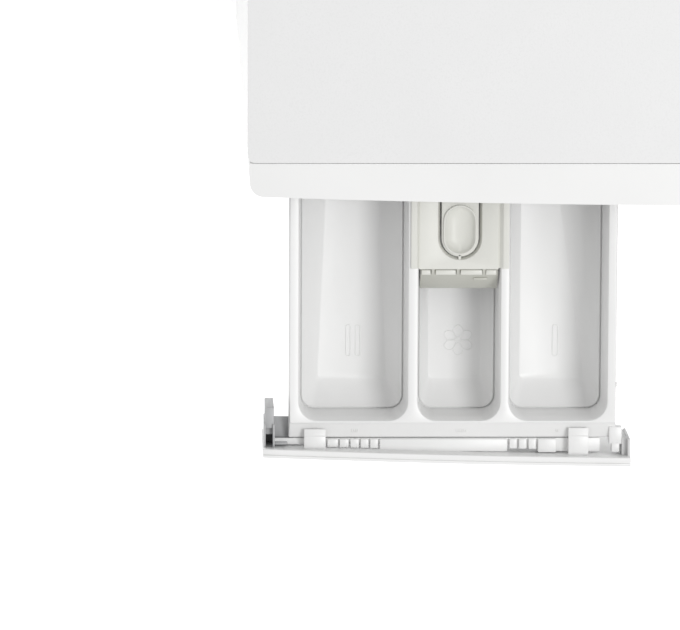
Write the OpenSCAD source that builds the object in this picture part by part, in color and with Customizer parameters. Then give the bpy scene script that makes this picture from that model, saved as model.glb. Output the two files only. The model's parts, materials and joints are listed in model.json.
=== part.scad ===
// Front load washing machine, 600 mm wide, with its detergent drawer pulled open.
// Millimetres. +X to the machine's right as seen from the front, +Y to the rear, +Z up.
// The origin is on the floor, at the middle of the whole outline with the drawer open.

/* [Cabinet] */
// Width of the cabinet
body_w = 600; // [598:1:604]
// Height from the floor to the worktop's top
body_h = 850; // [848:1:855]
// Depth from the control fascia's front to the rear panel
body_d = 560; // [556:1:580]
// Thickness of the worktop
top_t = 28; // [26:1:30]
// Thickness of the sheet steel panels
sheet_t = 1; // [0.8:0.1:1.2]
// How far the control fascia's middle stands ahead of its ends
fascia_bow = 5; // [3:0.5:7]
// How far the fascia's front stands ahead of the front panel
fascia_d = 24; // [23:0.5:26]
// Height of the control fascia
fascia_h = 112; // [110:1:114]

/* [Detergent drawer] */
// How far the drawer is pulled open
drawer_open = 152.5; // [0:0.5:160]
// Width of the drawer's front
drawer_front_w = 207; // [205:1:208]
// Height of the drawer's front
drawer_front_h = 74; // [72:1:75]
// Width of the tray
tray_w = 185; // [184:0.5:186]
// Length of the tray
tray_l = 230; // [220:1:236]
// Depth of a compartment from its rim to its floor
tray_depth = 46; // [42:1:47]

/* [Drum and tub] */
// Height of the drum's axis above the floor
drum_z = 430; // [426:1:434]
// Radius of the drum
drum_r = 238; // [234:1:240]
// Length of the drum
drum_l = 285; // [280:1:288]
// Inner radius of the tub
tub_r = 258; // [256:1:259]
// Wall of the tub
tub_wall = 4; // [3:0.5:4]
// Radius of the drum's mouth
mouth_r = 165; // [160:1:166]
// Radius of the drum pulley
pulley_r = 140; // [130:1:145]
// Radius of the motor pulley
motor_pulley_r = 10; // [9:0.5:11]

/* [Door] */
// Outer radius of the door
door_r = 206; // [200:1:208]
// How far the door's glass bowl reaches behind the front panel
bowl_depth = 78; // [68:1:79]

/* [Hidden] */
$fn = 96;
eps = 0.01;

// cabinet planes: Y = 0 lies 300 mm behind the fascia's front
half_w = body_w / 2;
front_y = -300;
panel_y = front_y + fascia_d;
rear_y = front_y + body_d;
in_x = half_w - sheet_t;
foot_gap = 24;
side_top = body_h - top_t - 0.5;
screw_xs = [-half_w + 14, half_w - 14];
screw_zs = [60, 240, 420, 600, 790];
kick_top = 108;
front_panel_top = 738;

// control fascia
fascia_z = body_h - 2 - fascia_h;
fascia_half = half_w - 1;
fascia_corner = 8;
fascia_wall = 3;
bow_r = (fascia_half * fascia_half + fascia_bow * fascia_bow) / (2 * fascia_bow);
function bow_y(x) = front_y + bow_r - sqrt(bow_r * bow_r - x * x);
drawer_front_wall = 4.5;
function behind_front(x) = bow_y(x) + drawer_front_wall - 0.5;

// drawer, in its closed place
drawer_x0 = -half_w + 8.8;
drawer_x1 = drawer_x0 + drawer_front_w;
drawer_z0 = 752;
drawer_face_y = bow_y(drawer_x0 + drawer_front_w / 2);
mouth_gap = 1.2;
tray_x0 = -half_w + 23.4;
tray_x1 = tray_x0 + tray_w;
tray_y0 = drawer_face_y + 13.5;
tray_y1 = tray_y0 + tray_l;
rim_y = tray_y0 + 9.6;
rim_z = 812;
tray_z0 = rim_z - tray_depth - 6;
// left and right edge of each compartment at the rim
room_main = [-half_w + 29.3, -half_w + 90.4];
room_soft = [-half_w + 96.3, -half_w + 142.5];
room_pre = [-half_w + 147.7, -half_w + 202.9];
ledge_depth = 34;
ledge_in = 1.3;
cap_front_y = drawer_face_y + drawer_open - 40.7;
cap_rear_y = tray_y1 - 15.5;
siphon_y = tray_y1 - 32;
cap_x0 = -half_w + 92;
cap_x1 = -half_w + 147;
tongue_x = (cap_x0 + cap_x1) / 2;
tongue_root_y = cap_front_y + 62;
tongue_r = 10.4;
tongue_tip_y = cap_front_y + 5.2;
pad_y = tongue_tip_y + 12.5;
pad_l = 12.5;
tongue_z = rim_z - 2;

// the whole outline's middle, from the open drawer's face to the valve's thread
outline_front = bow_y(drawer_x1) - drawer_open;
outline_rear = rear_y + 15;
shift_y = -(outline_front + outline_rear) / 2;

// drum and tub, front to rear
drum_y0 = -195;
drum_y1 = drum_y0 + drum_l;
tub_y0 = -212;
tub_y1 = 122;
hub_y1 = 190;
joint_y = 0;
flange_r = tub_r + tub_wall + 12;
seal_y = 128;
pulley_y = 197;
pulley_w = 16;
motor_z = 107;
sump_x = 190;
sump_y = -185;
fill_x = -150;
fill_y = -60;

// suspension
spring_x = 200;
spring_y = 60;
spring_z0 = 660;
spring_z1 = 785;
damper_x = 150;
damper_y = 40;

// door
door_front = panel_y - 42;
door_back = panel_y - 5.5;
hinge_x = -222;
hinge_y = panel_y - 31;
pin_r = 4;
lip_r = 168;

// pump and filter
pump_x = 190;
pump_z = 76;
drain_x = pump_x + 76;
drain_z = 712;
flap_w = 76;
flap_z0 = 46;
flap_h = 53;

// feet: corner positions
foot_x = 262;
foot_front_y = -250;
foot_rear_y = 225;

// controls on the fascia
knob_x = 20;
ctl_z = 795;
window_x = [96, 180];
button_x = 232;
button_gap = 30;
board_y = panel_y - 6;

module machine() translate([0, shift_y, 0]) children();
module pulled_out() translate([0, shift_y - drawer_open, 0]) children();
module along_y(x, z) translate([x, 0, z]) rotate([-90, 0, 0]) children();
module on_drum_axis() along_y(0, drum_z) children();
module rod_y(x, z, y0, y1, r) translate([x, y0, z]) rotate([-90, 0, 0]) cylinder(h = y1 - y0, r = r);
module box(lo, hi) translate(lo) cube(hi - lo);

// a ring or tube standing on the XY plane
module tube(r_out, r_in, h) difference() {
    cylinder(h = h, r = r_out);
    translate([0, 0, -1]) cylinder(h = h + 2, r = r_in);
}

// an even band along a line of [radius, y] points, for bent sheet and moulded walls
function unit(v) = v / norm(v);
function side_of(a, b) = let (d = unit(b - a)) [-d.y, d.x];
function mitre(p, i) =
    i == 0 ? side_of(p[0], p[1]) :
    i == len(p) - 1 ? side_of(p[i - 1], p[i]) :
    let (n1 = side_of(p[i - 1], p[i]), n2 = side_of(p[i], p[i + 1]), n = unit(n1 + n2)) n / (n * n1);
function band(p, t) = concat(
    [for (i = [0 : len(p) - 1]) p[i] + mitre(p, i) * t / 2],
    [for (i = [len(p) - 1 : -1 : 0]) p[i] - mitre(p, i) * t / 2]);
function arc(c, r, a0, a1, n) = [for (i = [0 : n]) c + r * [cos(a0 + (a1 - a0) * i / n), sin(a0 + (a1 - a0) * i / n)]];
module turned(p, t) rotate_extrude() polygon(band(p, t));

module rounded_rect(x0, x1, y0, y1, r) translate([x0 + r, y0 + r]) offset(r = r, $fn = 32)
    square([x1 - x0 - 2 * r, y1 - y0 - 2 * r]);

// a round tube swept along a list of points
function tangent(p, i) = unit(p[min(i + 1, len(p) - 1)] - p[max(i - 1, 0)]);
function across(t) = unit(cross(t, abs(t.z) > 0.9 ? [1, 0, 0] : [0, 0, 1]));
function ring_at(p, i, r, n) = let (t = tangent(p, i), u = across(t), v = cross(t, u))
    [for (k = [0 : n - 1]) p[i] + r * (u * cos(360 * k / n) + v * sin(360 * k / n))];
module swept(p, r, n) polyhedron(
    points = [for (i = [0 : len(p) - 1]) each ring_at(p, i, r, n)],
    faces = concat(
        [[for (k = [0 : n - 1]) k]],
        [for (i = [0 : len(p) - 2], k = [0 : n - 1]) each [
            [i * n + k, (i + 1) * n + k, (i + 1) * n + (k + 1) % n],
            [i * n + k, (i + 1) * n + (k + 1) % n, i * n + (k + 1) % n]]],
        [[for (k = [n - 1 : -1 : 0]) (len(p) - 1) * n + k]]));

// ---------------------------------------------------------------- cabinet

// side panel with bent returns at its front and rear edges; side is -1 or 1
module side_panel(side) color("whitesmoke") machine() {
    x0 = side < 0 ? -half_w : in_x;
    fold_x0 = side < 0 ? -in_x - eps : in_x - 19;
    union() {
        box([x0, panel_y + 1.2, foot_gap], [x0 + sheet_t, rear_y - 1.2, side_top]);
        box([fold_x0, panel_y + 1.2, foot_gap], [fold_x0 + 19 + eps, panel_y + 2.2, front_panel_top]);
        box([fold_x0, rear_y - 2.2, foot_gap], [fold_x0 + 19 + eps, rear_y - 1.2, side_top]);
    }
}
module side_panel_left() side_panel(-1);
module side_panel_right() side_panel(1);

module rear_panel() color("lightgray") machine() difference() {
    box([-half_w + 8, rear_y - 1, foot_gap + 4], [half_w - 8, rear_y, side_top]);
    for (x = [-180, 180], z = [330, 560]) rod_y(x, z, rear_y - 5, rear_y + 5, 9);
    rod_y(-230, 740, rear_y - 5, rear_y + 5, 16.5);
    rod_y(drain_x, drain_z, rear_y - 5, rear_y + 5, 13);
    for (x = screw_xs, z = screw_zs) rod_y(x, z, rear_y - 5, rear_y + 5, 2.1);
    rod_y(230, 770, rear_y - 5, rear_y + 5, 9);
}

module worktop() color("whitesmoke") machine() difference() {
    translate([0, 0, body_h - top_t]) linear_extrude(top_t)
        rounded_rect(-half_w, half_w, panel_y, rear_y, 4);
    box([-half_w + 16, panel_y + 16, body_h - top_t - 1], [half_w - 16, rear_y - 16, body_h - top_t + 0.01]);
}

module front_panel() color("whitesmoke") machine() difference() {
    union() {
        box([-half_w + 2, panel_y, kick_top + 2], [half_w - 2, panel_y + sheet_t, front_panel_top]);
        translate([0, panel_y, 0]) on_drum_axis() cylinder(h = 15, r = lip_r + 1.2);
    }
    translate([0, panel_y - 1, 0]) on_drum_axis() cylinder(h = 20, r = lip_r);
    box([187, panel_y - 1, drum_z - 11], [213, panel_y + 2, drum_z + 11]);
}

// the fascia's plan: a bowed front between two rounded corners; inset moves it inwards
module fascia_outline(inset) {
    x = fascia_half - inset;
    r = fascia_corner - inset;
    corner = [fascia_half - fascia_corner, bow_y(fascia_half - fascia_corner) + fascia_corner];
    rear = panel_y - 0.5 + 10 * inset;
    polygon(concat(
        [[-x, rear]],
        arc([-corner.x, corner.y], r, 180, 262, 8),
        [for (i = [-15 : 15]) [i / 16 * corner.x, bow_y(i / 16 * corner.x) + inset]],
        arc(corner, r, 278, 360, 8),
        [[x, rear]]));
}

module control_fascia() color("white") machine() difference() {
    translate([0, 0, fascia_z]) linear_extrude(fascia_h) fascia_outline(0);
    difference() {
        translate([0, 0, fascia_z + fascia_wall]) linear_extrude(fascia_h - 2 * fascia_wall)
            fascia_outline(fascia_wall);
        box([drawer_x1 + 3, front_y - 10, fascia_z], [drawer_x1 + 6, panel_y + 10, body_h]);
    }
    box([-fascia_half + 3, panel_y - 4, fascia_z + 3], [fascia_half - 3, panel_y + 1, fascia_z + fascia_h - 3]);
    box([drawer_x0 - mouth_gap, front_y - 20, drawer_z0 - mouth_gap],
        [drawer_x1 + mouth_gap, panel_y + 1, drawer_z0 + drawer_front_h + mouth_gap]);
    rod_y(knob_x, ctl_z, front_y - 5, panel_y, 9);
    box([window_x[0], front_y - 5, ctl_z - 20], [window_x[1], panel_y - 8, ctl_z + 20]);
    for (dz = [0, -button_gap]) rod_y(button_x, ctl_z + 12 + dz, front_y - 5, panel_y - 8, 11.4);
}

module base_pan() color("gainsboro") machine() difference() {
    box([-in_x + 0.5, panel_y + 2.7, foot_gap], [in_x - 0.5, rear_y - 2.7, foot_gap + 28]);
    box([-in_x + 2, panel_y + 4.2, foot_gap + 1.5], [in_x - 2, rear_y - 4.2, foot_gap + 40]);
    for (x = [-foot_x, foot_x], y = [foot_front_y, foot_rear_y])
        translate([x, y, 0]) cylinder(h = 100, r = 6.5);
}

module cross_braces() color("silver") machine() {
    box([-in_x + 0.2, panel_y + 8, side_top - 3], [in_x - 0.2, panel_y + 48, side_top - 0.2]);
    difference() {
        box([-in_x + 0.2, rear_y - 45, side_top - 20], [in_x - 0.2, rear_y - 5, side_top - 0.2]);
        box([-in_x - 1, rear_y - 46, side_top - 21], [in_x + 1, rear_y - 7, side_top - 2.2]);
    }
    for (s = [-1, 1]) difference() {
        box([min(s * in_x - s * 0.2, s * (spring_x - 14)), spring_y - 12, spring_z1],
            [max(s * in_x - s * 0.2, s * (spring_x - 14)), spring_y + 12, spring_z1 + 4]);
        translate([s * spring_x, spring_y, spring_z1 - 1]) cylinder(h = 10, r = 3);
    }
}

module kick_panel() color("white") machine() difference() {
    box([-half_w + 3, panel_y - 2.8, foot_gap + 2], [half_w - 3, panel_y + 1, kick_top]);
    box([pump_x - flap_w / 2 - 1, panel_y - 5, flap_z0 - 1.5],
        [pump_x + flap_w / 2 + 1, panel_y + 5, flap_z0 + flap_h + 1]);
    translate([pump_x - flap_w / 2 - 6, panel_y - 0.9, flap_z0 + 2]) rotate([0, 90, 0])
        cylinder(h = flap_w + 12, r = 1.35);
}

module filter_flap() color("white") machine() {
    box([pump_x - flap_w / 2, panel_y - 2.8, flap_z0], [pump_x + flap_w / 2, panel_y + 1, flap_z0 + flap_h]);
    translate([pump_x - flap_w / 2 - 5, panel_y - 0.9, flap_z0 + 2]) rotate([0, 90, 0])
        cylinder(h = flap_w + 10, r = 1.3);
}

module screw_y(x, z, y, r, len) {
    rod_y(x, z, y, y + 2.5, 1.8 * r);
    rod_y(x, z, y - len, y + eps, r);
}
module cabinet_screws() color("silver") machine()
    for (x = screw_xs, z = screw_zs) screw_y(x, z, rear_y, 2, 1.1);

module foot(x, y) color("dimgray") machine() translate([x, y, 0]) {
    cylinder(h = 8, r = 22);
    translate([0, 0, 8 - eps]) cylinder(h = 8, r1 = 22, r2 = 12);
    translate([0, 0, 14]) cylinder(h = 40, r = 6);
}
module foot_front_left() foot(-foot_x, foot_front_y);
module foot_front_right() foot(foot_x, foot_front_y);
module foot_rear_left() foot(-foot_x, foot_rear_y);
module foot_rear_right() foot(foot_x, foot_rear_y);

module cord_gland() color("dimgray") machine() {
    difference() {
        union() {
            rod_y(230, 770, rear_y, rear_y + 12, 13);
            rod_y(230, 770, rear_y - 8, rear_y + 1, 8.9);
        }
        rod_y(230, 770, rear_y - 10, rear_y + 14, 4.5);
    }
}

// ---------------------------------------------------------------- water side

module dispenser_housing() color("gainsboro") machine() {
    x0 = tray_x0 - 5;
    x1 = tray_x1 + 5;
    y0 = panel_y + 3;
    y1 = tray_y1 + 35;
    difference() {
        union() {
            box([x0, y0, 744], [x1, y1, side_top - 4]);
            translate([fill_x, fill_y, 722]) cylinder(h = 30, r = 20);
        }
        box([x0 + 2.5, y0 - 1, 747], [x1 - 2.5, y1 - 2.5, side_top - 6.5]);
        translate([fill_x, fill_y, 700]) cylinder(h = 60, r = 17);
    }
}

module inlet_valve() color("white") machine() {
    difference() {
        union() {
            rod_y(-230, 740, rear_y - 40, rear_y + 15, 13.2);
            rod_y(-230, 740, rear_y - 24, rear_y - 1.2, 19);
            box([-254, rear_y - 66, 722], [-206, rear_y - 38, 768]);
        }
        rod_y(-230, 740, rear_y - 30, rear_y + 20, 9);
    }
}

module pressure_switch() color("white") machine() {
    translate([250, 120, 745]) cylinder(h = 26, r = 28);
    translate([250, 120, 770]) cylinder(h = 14, r = 12);
    translate([250, 120, 730]) cylinder(h = 16, r = 4);
}

module pump_housing() color("whitesmoke") machine() {
    y0 = panel_y + 12;
    difference() {
        union() {
            rod_y(pump_x, pump_z, y0, -150, 31);
            rod_y(pump_x, pump_z, -152, -118, 38);
            rod_y(pump_x, pump_z, -119, -72, 26);
            translate([sump_x, sump_y, pump_z]) cylinder(h = 60, r = 20);
            translate([pump_x, -135, pump_z]) rotate([0, 90, 0]) cylinder(h = 50, r = 11);
            box([pump_x - 34, -150, foot_gap + 1.5], [pump_x + 34, -120, pump_z - 20]);
        }
        rod_y(pump_x, pump_z, y0 - 1, -154, 28);
        rod_y(pump_x, pump_z, -149, -122, 32);
        rod_y(pump_x, pump_z, -155, -148, 14);
        rod_y(pump_x, pump_z, -123, -100, 3.05);
        translate([sump_x, sump_y, pump_z]) cylinder(h = 70, r = 16);
        translate([pump_x, -135, pump_z]) rotate([0, 90, 0]) cylinder(h = 60, r = 8.5);
    }
}

module pump_impeller() color("dimgray") machine() {
    rod_y(pump_x, pump_z, -128, -104, 3);
    rod_y(pump_x, pump_z, -128, -125, 22);
    for (a = [0 : 90 : 270]) translate([pump_x, -144, pump_z]) rotate([0, a, 0])
        box([3, 0, -1.5], [21, 17, 1.5]);
    rod_y(pump_x, pump_z, -144, -127, 6);
}

module filter_cap() color("dimgray") machine() {
    y0 = panel_y + 2;
    difference() {
        union() {
            rod_y(pump_x, pump_z, y0 + 4, y0 + 9.5, 33);
            rod_y(pump_x, pump_z, y0 + 9, y0 + 22, 27.5);
            box([pump_x - 22, y0, pump_z - 4], [pump_x + 22, y0 + 5, pump_z + 4]);
            rod_y(pump_x, pump_z, y0 + 21, y0 + 85, 22);
        }
        rod_y(pump_x, pump_z, y0 + 26, y0 + 90, 19.5);
        for (k = [0 : 3], a = [0 : 45 : 135]) translate([pump_x, y0 + 32 + 13 * k, pump_z])
            rotate([0, a, 0]) box([-30, 0, -4], [30, 7, 4]);
    }
}

drain_route = [
    [pump_x + 52, -135, pump_z], [pump_x + 62, -135, pump_z], [drain_x - 4, -131, pump_z],
    [drain_x, -120, pump_z], [drain_x, 60, pump_z], [drain_x, 218, pump_z],
    [drain_x, 230, pump_z + 4], [drain_x, 236, pump_z + 16], [drain_x, 236, 400],
    [drain_x, 236, 690], [drain_x, 239, 704], [drain_x, 249, drain_z], [drain_x, rear_y + 2, drain_z]
];
module hoses() color("dimgray") machine() {
    translate([sump_x, sump_y, 112]) tube(24, 20.3, 108);
    translate([fill_x, fill_y, 666]) tube(24, 20.3, 74);
    swept(drain_route, 11, 12);
}

// ---------------------------------------------------------------- controls

module control_board() color("darkgreen") machine() {
    difference() {
        union() {
            box([-60, board_y, 752], [272, board_y + 1.6, 832]);
            box([knob_x - 13, board_y - 6, ctl_z - 13], [knob_x + 13, board_y + eps, ctl_z + 13]);
            box([window_x[0] + 2, board_y - 4, ctl_z - 17], [window_x[1] - 2, board_y + eps, ctl_z + 17]);
        }
        rod_y(knob_x, ctl_z, board_y - 8, board_y + 4, 3.05);
    }
}

module display_window() color("black") machine()
    box([window_x[0] + 0.3, front_y + 2.6, ctl_z - 19.7], [window_x[1] - 0.3, front_y + 5, ctl_z + 19.7]);

module program_knob() color("white") machine() difference() {
    union() {
        rod_y(knob_x, ctl_z, front_y - 21, front_y - 1.5, 23);
        rod_y(knob_x, ctl_z, front_y - 3.5, front_y - 1, 27);
        rod_y(knob_x, ctl_z, front_y - 2, board_y - 1, 3);
    }
    box([knob_x - 1, front_y - 25, ctl_z + 11], [knob_x + 1, front_y - 20, ctl_z + 24]);
}

module push_button(z) machine() {
    rod_y(button_x, z, front_y + 1, board_y - 2.8, 11);
    rod_y(button_x, z, front_y + 7.4, front_y + 9, 13);
}
module start_button() color("white") push_button(ctl_z + 12);
module option_button() color("white") push_button(ctl_z + 12 - button_gap);

// ---------------------------------------------------------------- detergent drawer

// the hollow of one compartment: slightly tapered walls down to a ledge, then a slope to a smaller floor;
// taper_x narrows the floor's right side towards the rear
module room(x, y1, floor_in, taper_x, rear_gap) {
    ledge_z = rim_z - ledge_depth;
    hull() {
        translate([0, 0, rim_z - eps]) linear_extrude(1) rounded_rect(x[0], x[1], rim_y, y1, 10.5);
        translate([0, 0, ledge_z]) linear_extrude(1)
            rounded_rect(x[0] + ledge_in, x[1] - ledge_in, rim_y + ledge_in, y1 - eps, 7.5);
    }
    hull() {
        translate([0, 0, ledge_z]) linear_extrude(0.5)
            rounded_rect(x[0] + ledge_in + 0.5, x[1] - ledge_in - 0.5, rim_y + ledge_in + 0.5, y1 - 1, 7.5);
        translate([0, 0, rim_z - tray_depth]) linear_extrude(1) polygon([
            [x[0] + floor_in, rim_y + 17], [x[1] - floor_in - 1, rim_y + 17],
            [x[1] - floor_in - 1 - taper_x, y1 - rear_gap], [x[0] + floor_in, y1 - rear_gap]]);
    }
}

module drawer_tray() color("white") pulled_out() difference() {
    union() {
        box([tray_x0, tray_y0, rim_z - 2.5], [tray_x1, tray_y1, rim_z]);
        box([tray_x0 + 4, tray_y0 + 3, tray_z0], [tray_x1 - 4, tray_y1, rim_z - 1]);
    }
    room(room_main, tray_y1 + 20, 10, 0, 0);
    room(room_soft, tray_y1 - 8, 6, 0, 6);
    room(room_pre, tray_y1 + 20, 9, 24, 0);
    translate([tongue_x, siphon_y, tray_z0 - 1]) cylinder(h = 20, r = 6);
}

module drawer_front() color("white") pulled_out() {
    z1 = drawer_z0 + drawer_front_h;
    intersection() {
        translate([0, 0, drawer_z0]) linear_extrude(drawer_front_h) difference() {
            fascia_outline(0);
            fascia_outline(drawer_front_wall);
        }
        box([drawer_x0, front_y - 10, drawer_z0], [drawer_x1, drawer_face_y + 6, z1]);
    }
    // end flanges: the left one is longer, with a thicker front half
    box([drawer_x0 + 0.5, behind_front(drawer_x0 + 0.5), drawer_z0],
        [drawer_x0 + 7, drawer_face_y + 15, z1 - 10]);
    box([drawer_x0 + 2.5, behind_front(drawer_x0), drawer_z0],
        [drawer_x0 + 6.5, drawer_face_y + 34, z1 - 10]);
    box([drawer_x1 - 5.5, behind_front(drawer_x1 - 5.5), drawer_z0],
        [drawer_x1 - 0.5, drawer_face_y + 19, z1 - 10]);
    // two clips that reach over the tray's front band
    for (x = [-half_w + 32, -half_w + 180.5]) {
        box([x, behind_front(x), rim_z - 30], [x + 12, tray_y0 - 0.2, rim_z + 2.2]);
        box([x, tray_y0 - 0.3, rim_z + 0.2], [x + 12, tray_y0 + 5, rim_z + 2.2]);
    }
    // stiffening ribs on the inner face
    for (x = [-half_w + 51, -half_w + 57, -half_w + 63, -half_w + 68, -half_w + 73,
              -half_w + 147, -half_w + 153, -half_w + 158, -half_w + 164])
        box([x, behind_front(x), rim_z - 20], [x + 1.2, tray_y0 - 0.6, rim_z - 1.5]);
}

module siphon_cap() color("gainsboro") pulled_out() {
    x0 = room_soft[0] + 2.4;
    x1 = room_soft[1] - 2.4;
    difference() {
        union() {
            box([cap_x0, cap_front_y, rim_z + 0.05], [cap_x1, cap_rear_y, rim_z + 1.6]);
            box([x0, cap_front_y, rim_z - 5], [x1, cap_rear_y, rim_z + 1]);
            // skirt that leans forward into the compartment, hung from three short ribs
            translate([x0, 0, 0]) rotate([90, 0, 90]) linear_extrude(x1 - x0) polygon([
                [cap_front_y - 3.4, rim_z - 4], [cap_front_y - 2, rim_z - 4],
                [cap_front_y - 10, rim_z - 33], [cap_front_y - 11.6, rim_z - 33]]);
            for (x = [x0, tongue_x - 15, tongue_x - 0.8, tongue_x + 13.4, x1 - 1.6])
                box([x, cap_front_y - 3.6, rim_z - 7], [x + 1.6, cap_front_y + eps, rim_z - 2]);
        }
        box([x0 + 3, cap_front_y + 2, rim_z - 6], [x1 - 3, cap_rear_y - 2, rim_z - 2]);
        translate([0, 0, rim_z - 6]) linear_extrude(10) tongue_plan(1.2);
    }
    translate([tongue_x, siphon_y, rim_z - 30]) cylinder(h = 28.5, r = 9);
}

// plan of the release tongue: straight sides with a round free end; gap widens it for its slot
module tongue_plan(gap) {
    w = tongue_r + gap;
    translate([tongue_x, tongue_tip_y + tongue_r]) circle(r = w);
    translate([tongue_x - w, tongue_tip_y + tongue_r]) square([2 * w, tongue_root_y - tongue_tip_y - tongue_r]);
}

// plan of the thumb pad on the tongue: a stadium
module pad_plan(r) {
    for (y = [pad_y, pad_y + pad_l]) translate([tongue_x, y]) circle(r = r);
    translate([tongue_x - r, pad_y]) square([2 * r, pad_l]);
}

module release_tongue() color("gainsboro") pulled_out() difference() {
    union() {
        intersection() {
            translate([0, 0, tongue_z - 1.5]) linear_extrude(3) tongue_plan(0);
            translate([tongue_x - 30, tongue_tip_y - 1, 0])
                cube([60, tongue_root_y - tongue_tip_y + 0.5, body_h]);
        }
        translate([0, 0, tongue_z]) linear_extrude(3) pad_plan(9.3);
    }
    translate([0, 0, tongue_z + 0.6]) linear_extrude(4) pad_plan(7.8);
}

// ---------------------------------------------------------------- door

module door_outer_ring() color("white") machine() {
    profile = concat(
        [[door_r - 1.5, door_back + 0.5]],
        arc([door_r - 13.5, door_front + 14], 12, 0, -80, 6),
        [[160, door_front + 1.5], [152, door_front + 7], [150, door_front + 20]]);
    difference() {
        on_drum_axis() turned(profile, 3);
        box([-door_r - 5, door_front - 5, drum_z - 50], [-183, door_back + 5, drum_z + 50]);
        box([168, door_front - 5, drum_z - 46], [door_r + 5, door_back + 5, drum_z + 46]);
    }
}

module door_inner_ring() color("gainsboro") machine() difference() {
    union() {
        on_drum_axis() turned([[door_r - 4, door_back - 2], [156, door_back - 2]], 2.5);
        box([hinge_x - 7, hinge_y - 6, drum_z - 34], [-183, hinge_y + 6, drum_z + 34]);
        box([-200, hinge_y - 6, drum_z - 34], [-183, door_back - 1, drum_z + 34]);
    }
    translate([hinge_x, hinge_y, drum_z - 60]) cylinder(h = 120, r = pin_r + 0.05);
    box([184, door_back - 10, drum_z - 14], [door_r + 5, door_back + 5, drum_z + 14]);
}

module door_glass() color("lightblue") machine() {
    end_y = panel_y + bowl_depth;
    profile = concat(
        [[166, door_back - 11], [152, door_back - 11], [146, door_back - 4]],
        arc([119, end_y - 16], 16, 8, 80, 6),
        [[60, end_y + 3.5], [20, end_y + 4.5], [0, end_y + 4.5]]);
    on_drum_axis() turned(profile, 4);
}

module door_handle() color("silver") machine() {
    profile = concat(
        [[door_r - 1.5, door_back - 14]],
        arc([door_r - 13.5, door_front + 14], 12, 0, -80, 6),
        [[166, door_front + 2]]);
    intersection() {
        on_drum_axis() turned(profile, 3);
        box([169.5, door_front - 5, drum_z - 44.5], [door_r + 5, door_back, drum_z + 44.5]);
    }
    translate([172, panel_y - 38, drum_z - 44.5]) cylinder(h = 89, r = 2.5);
    box([194, door_front + 4, drum_z - 8], [198, panel_y + 18, drum_z + 8]);
    box([188, panel_y + 12, drum_z - 8], [194 + eps, panel_y + 18, drum_z + 8]);
    box([194, door_front + 2, drum_z - 8], [201, door_front + 8, drum_z + 8]);
}

module door_hinge() color("silver") machine() difference() {
    union() {
        box([-262, panel_y - 3, drum_z - 50], [-208, panel_y, drum_z + 50]);
        for (z = [drum_z - 44, drum_z + 36]) {
            box([hinge_x - 8, hinge_y, z], [hinge_x + 8, panel_y - 2, z + 8]);
            translate([hinge_x, hinge_y, z]) cylinder(h = 8, r = 8);
        }
    }
    translate([hinge_x, hinge_y, drum_z - 60]) cylinder(h = 120, r = pin_r);
}

module hinge_pin() color("silver") machine() translate([hinge_x, hinge_y, drum_z - 46]) cylinder(h = 92, r = pin_r);

module door_lock() color("dimgray") machine() difference() {
    box([184.5, panel_y + 1.2, drum_z - 35], [222, panel_y + 28, drum_z + 35]);
    box([187, panel_y, drum_z - 12], [214, panel_y + 23, drum_z + 12]);
}

module door_gasket() color("gray") machine() {
    bellows = [
        [lip_r + 3, panel_y + 4], [lip_r + 3, panel_y + 18], [lip_r + 13, panel_y + 24],
        [lip_r + 13, panel_y + 28], [lip_r + 6, panel_y + 32], [lip_r + 6, panel_y + 36],
        [lip_r + 13, panel_y + 41], [lip_r + 13, panel_y + 44], [lip_r + 2, panel_y + 50], [lip_r + 2, panel_y + 61]];
    sealing_lip = [[lip_r + 3, panel_y + 17], [lip_r - 6, panel_y + 22], [lip_r - 16, panel_y + 18]];
    on_drum_axis() union() {
        turned(bellows, 3);
        turned(sealing_lip, 2.4);
    }
}

// ---------------------------------------------------------------- tub

module tub_front() color("lightgray") machine() difference() {
    union() {
        on_drum_axis() difference() {
            union() {
                translate([0, 0, tub_y0]) cylinder(h = joint_y - tub_y0, r = tub_r + tub_wall);
                translate([0, 0, joint_y - 8]) cylinder(h = 8, r = flange_r);
                translate([0, 0, tub_y0 - 20]) cylinder(h = 24, r = lip_r);
            }
            translate([0, 0, tub_y0 + 5]) cylinder(h = 400, r = tub_r);
        }
        translate([sump_x, sump_y, 205]) cylinder(h = 60, r = 20);
        translate([fill_x, fill_y, 630]) cylinder(h = 58, r = 20);
    }
    on_drum_axis() {
        translate([0, 0, tub_y0 - 40]) cylinder(h = 80, r = mouth_r);
        translate([0, 0, tub_y0 + 5]) cylinder(h = 400, r = tub_r);
        for (a = [15 : 30 : 345]) rotate([0, 0, a]) translate([flange_r - 6, 0, joint_y - 20])
            cylinder(h = 40, r = 2.6);
    }
    translate([sump_x, sump_y, 200]) cylinder(h = 80, r = 16);
    translate([fill_x, fill_y, 610]) cylinder(h = 80, r = 16);
}

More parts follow.
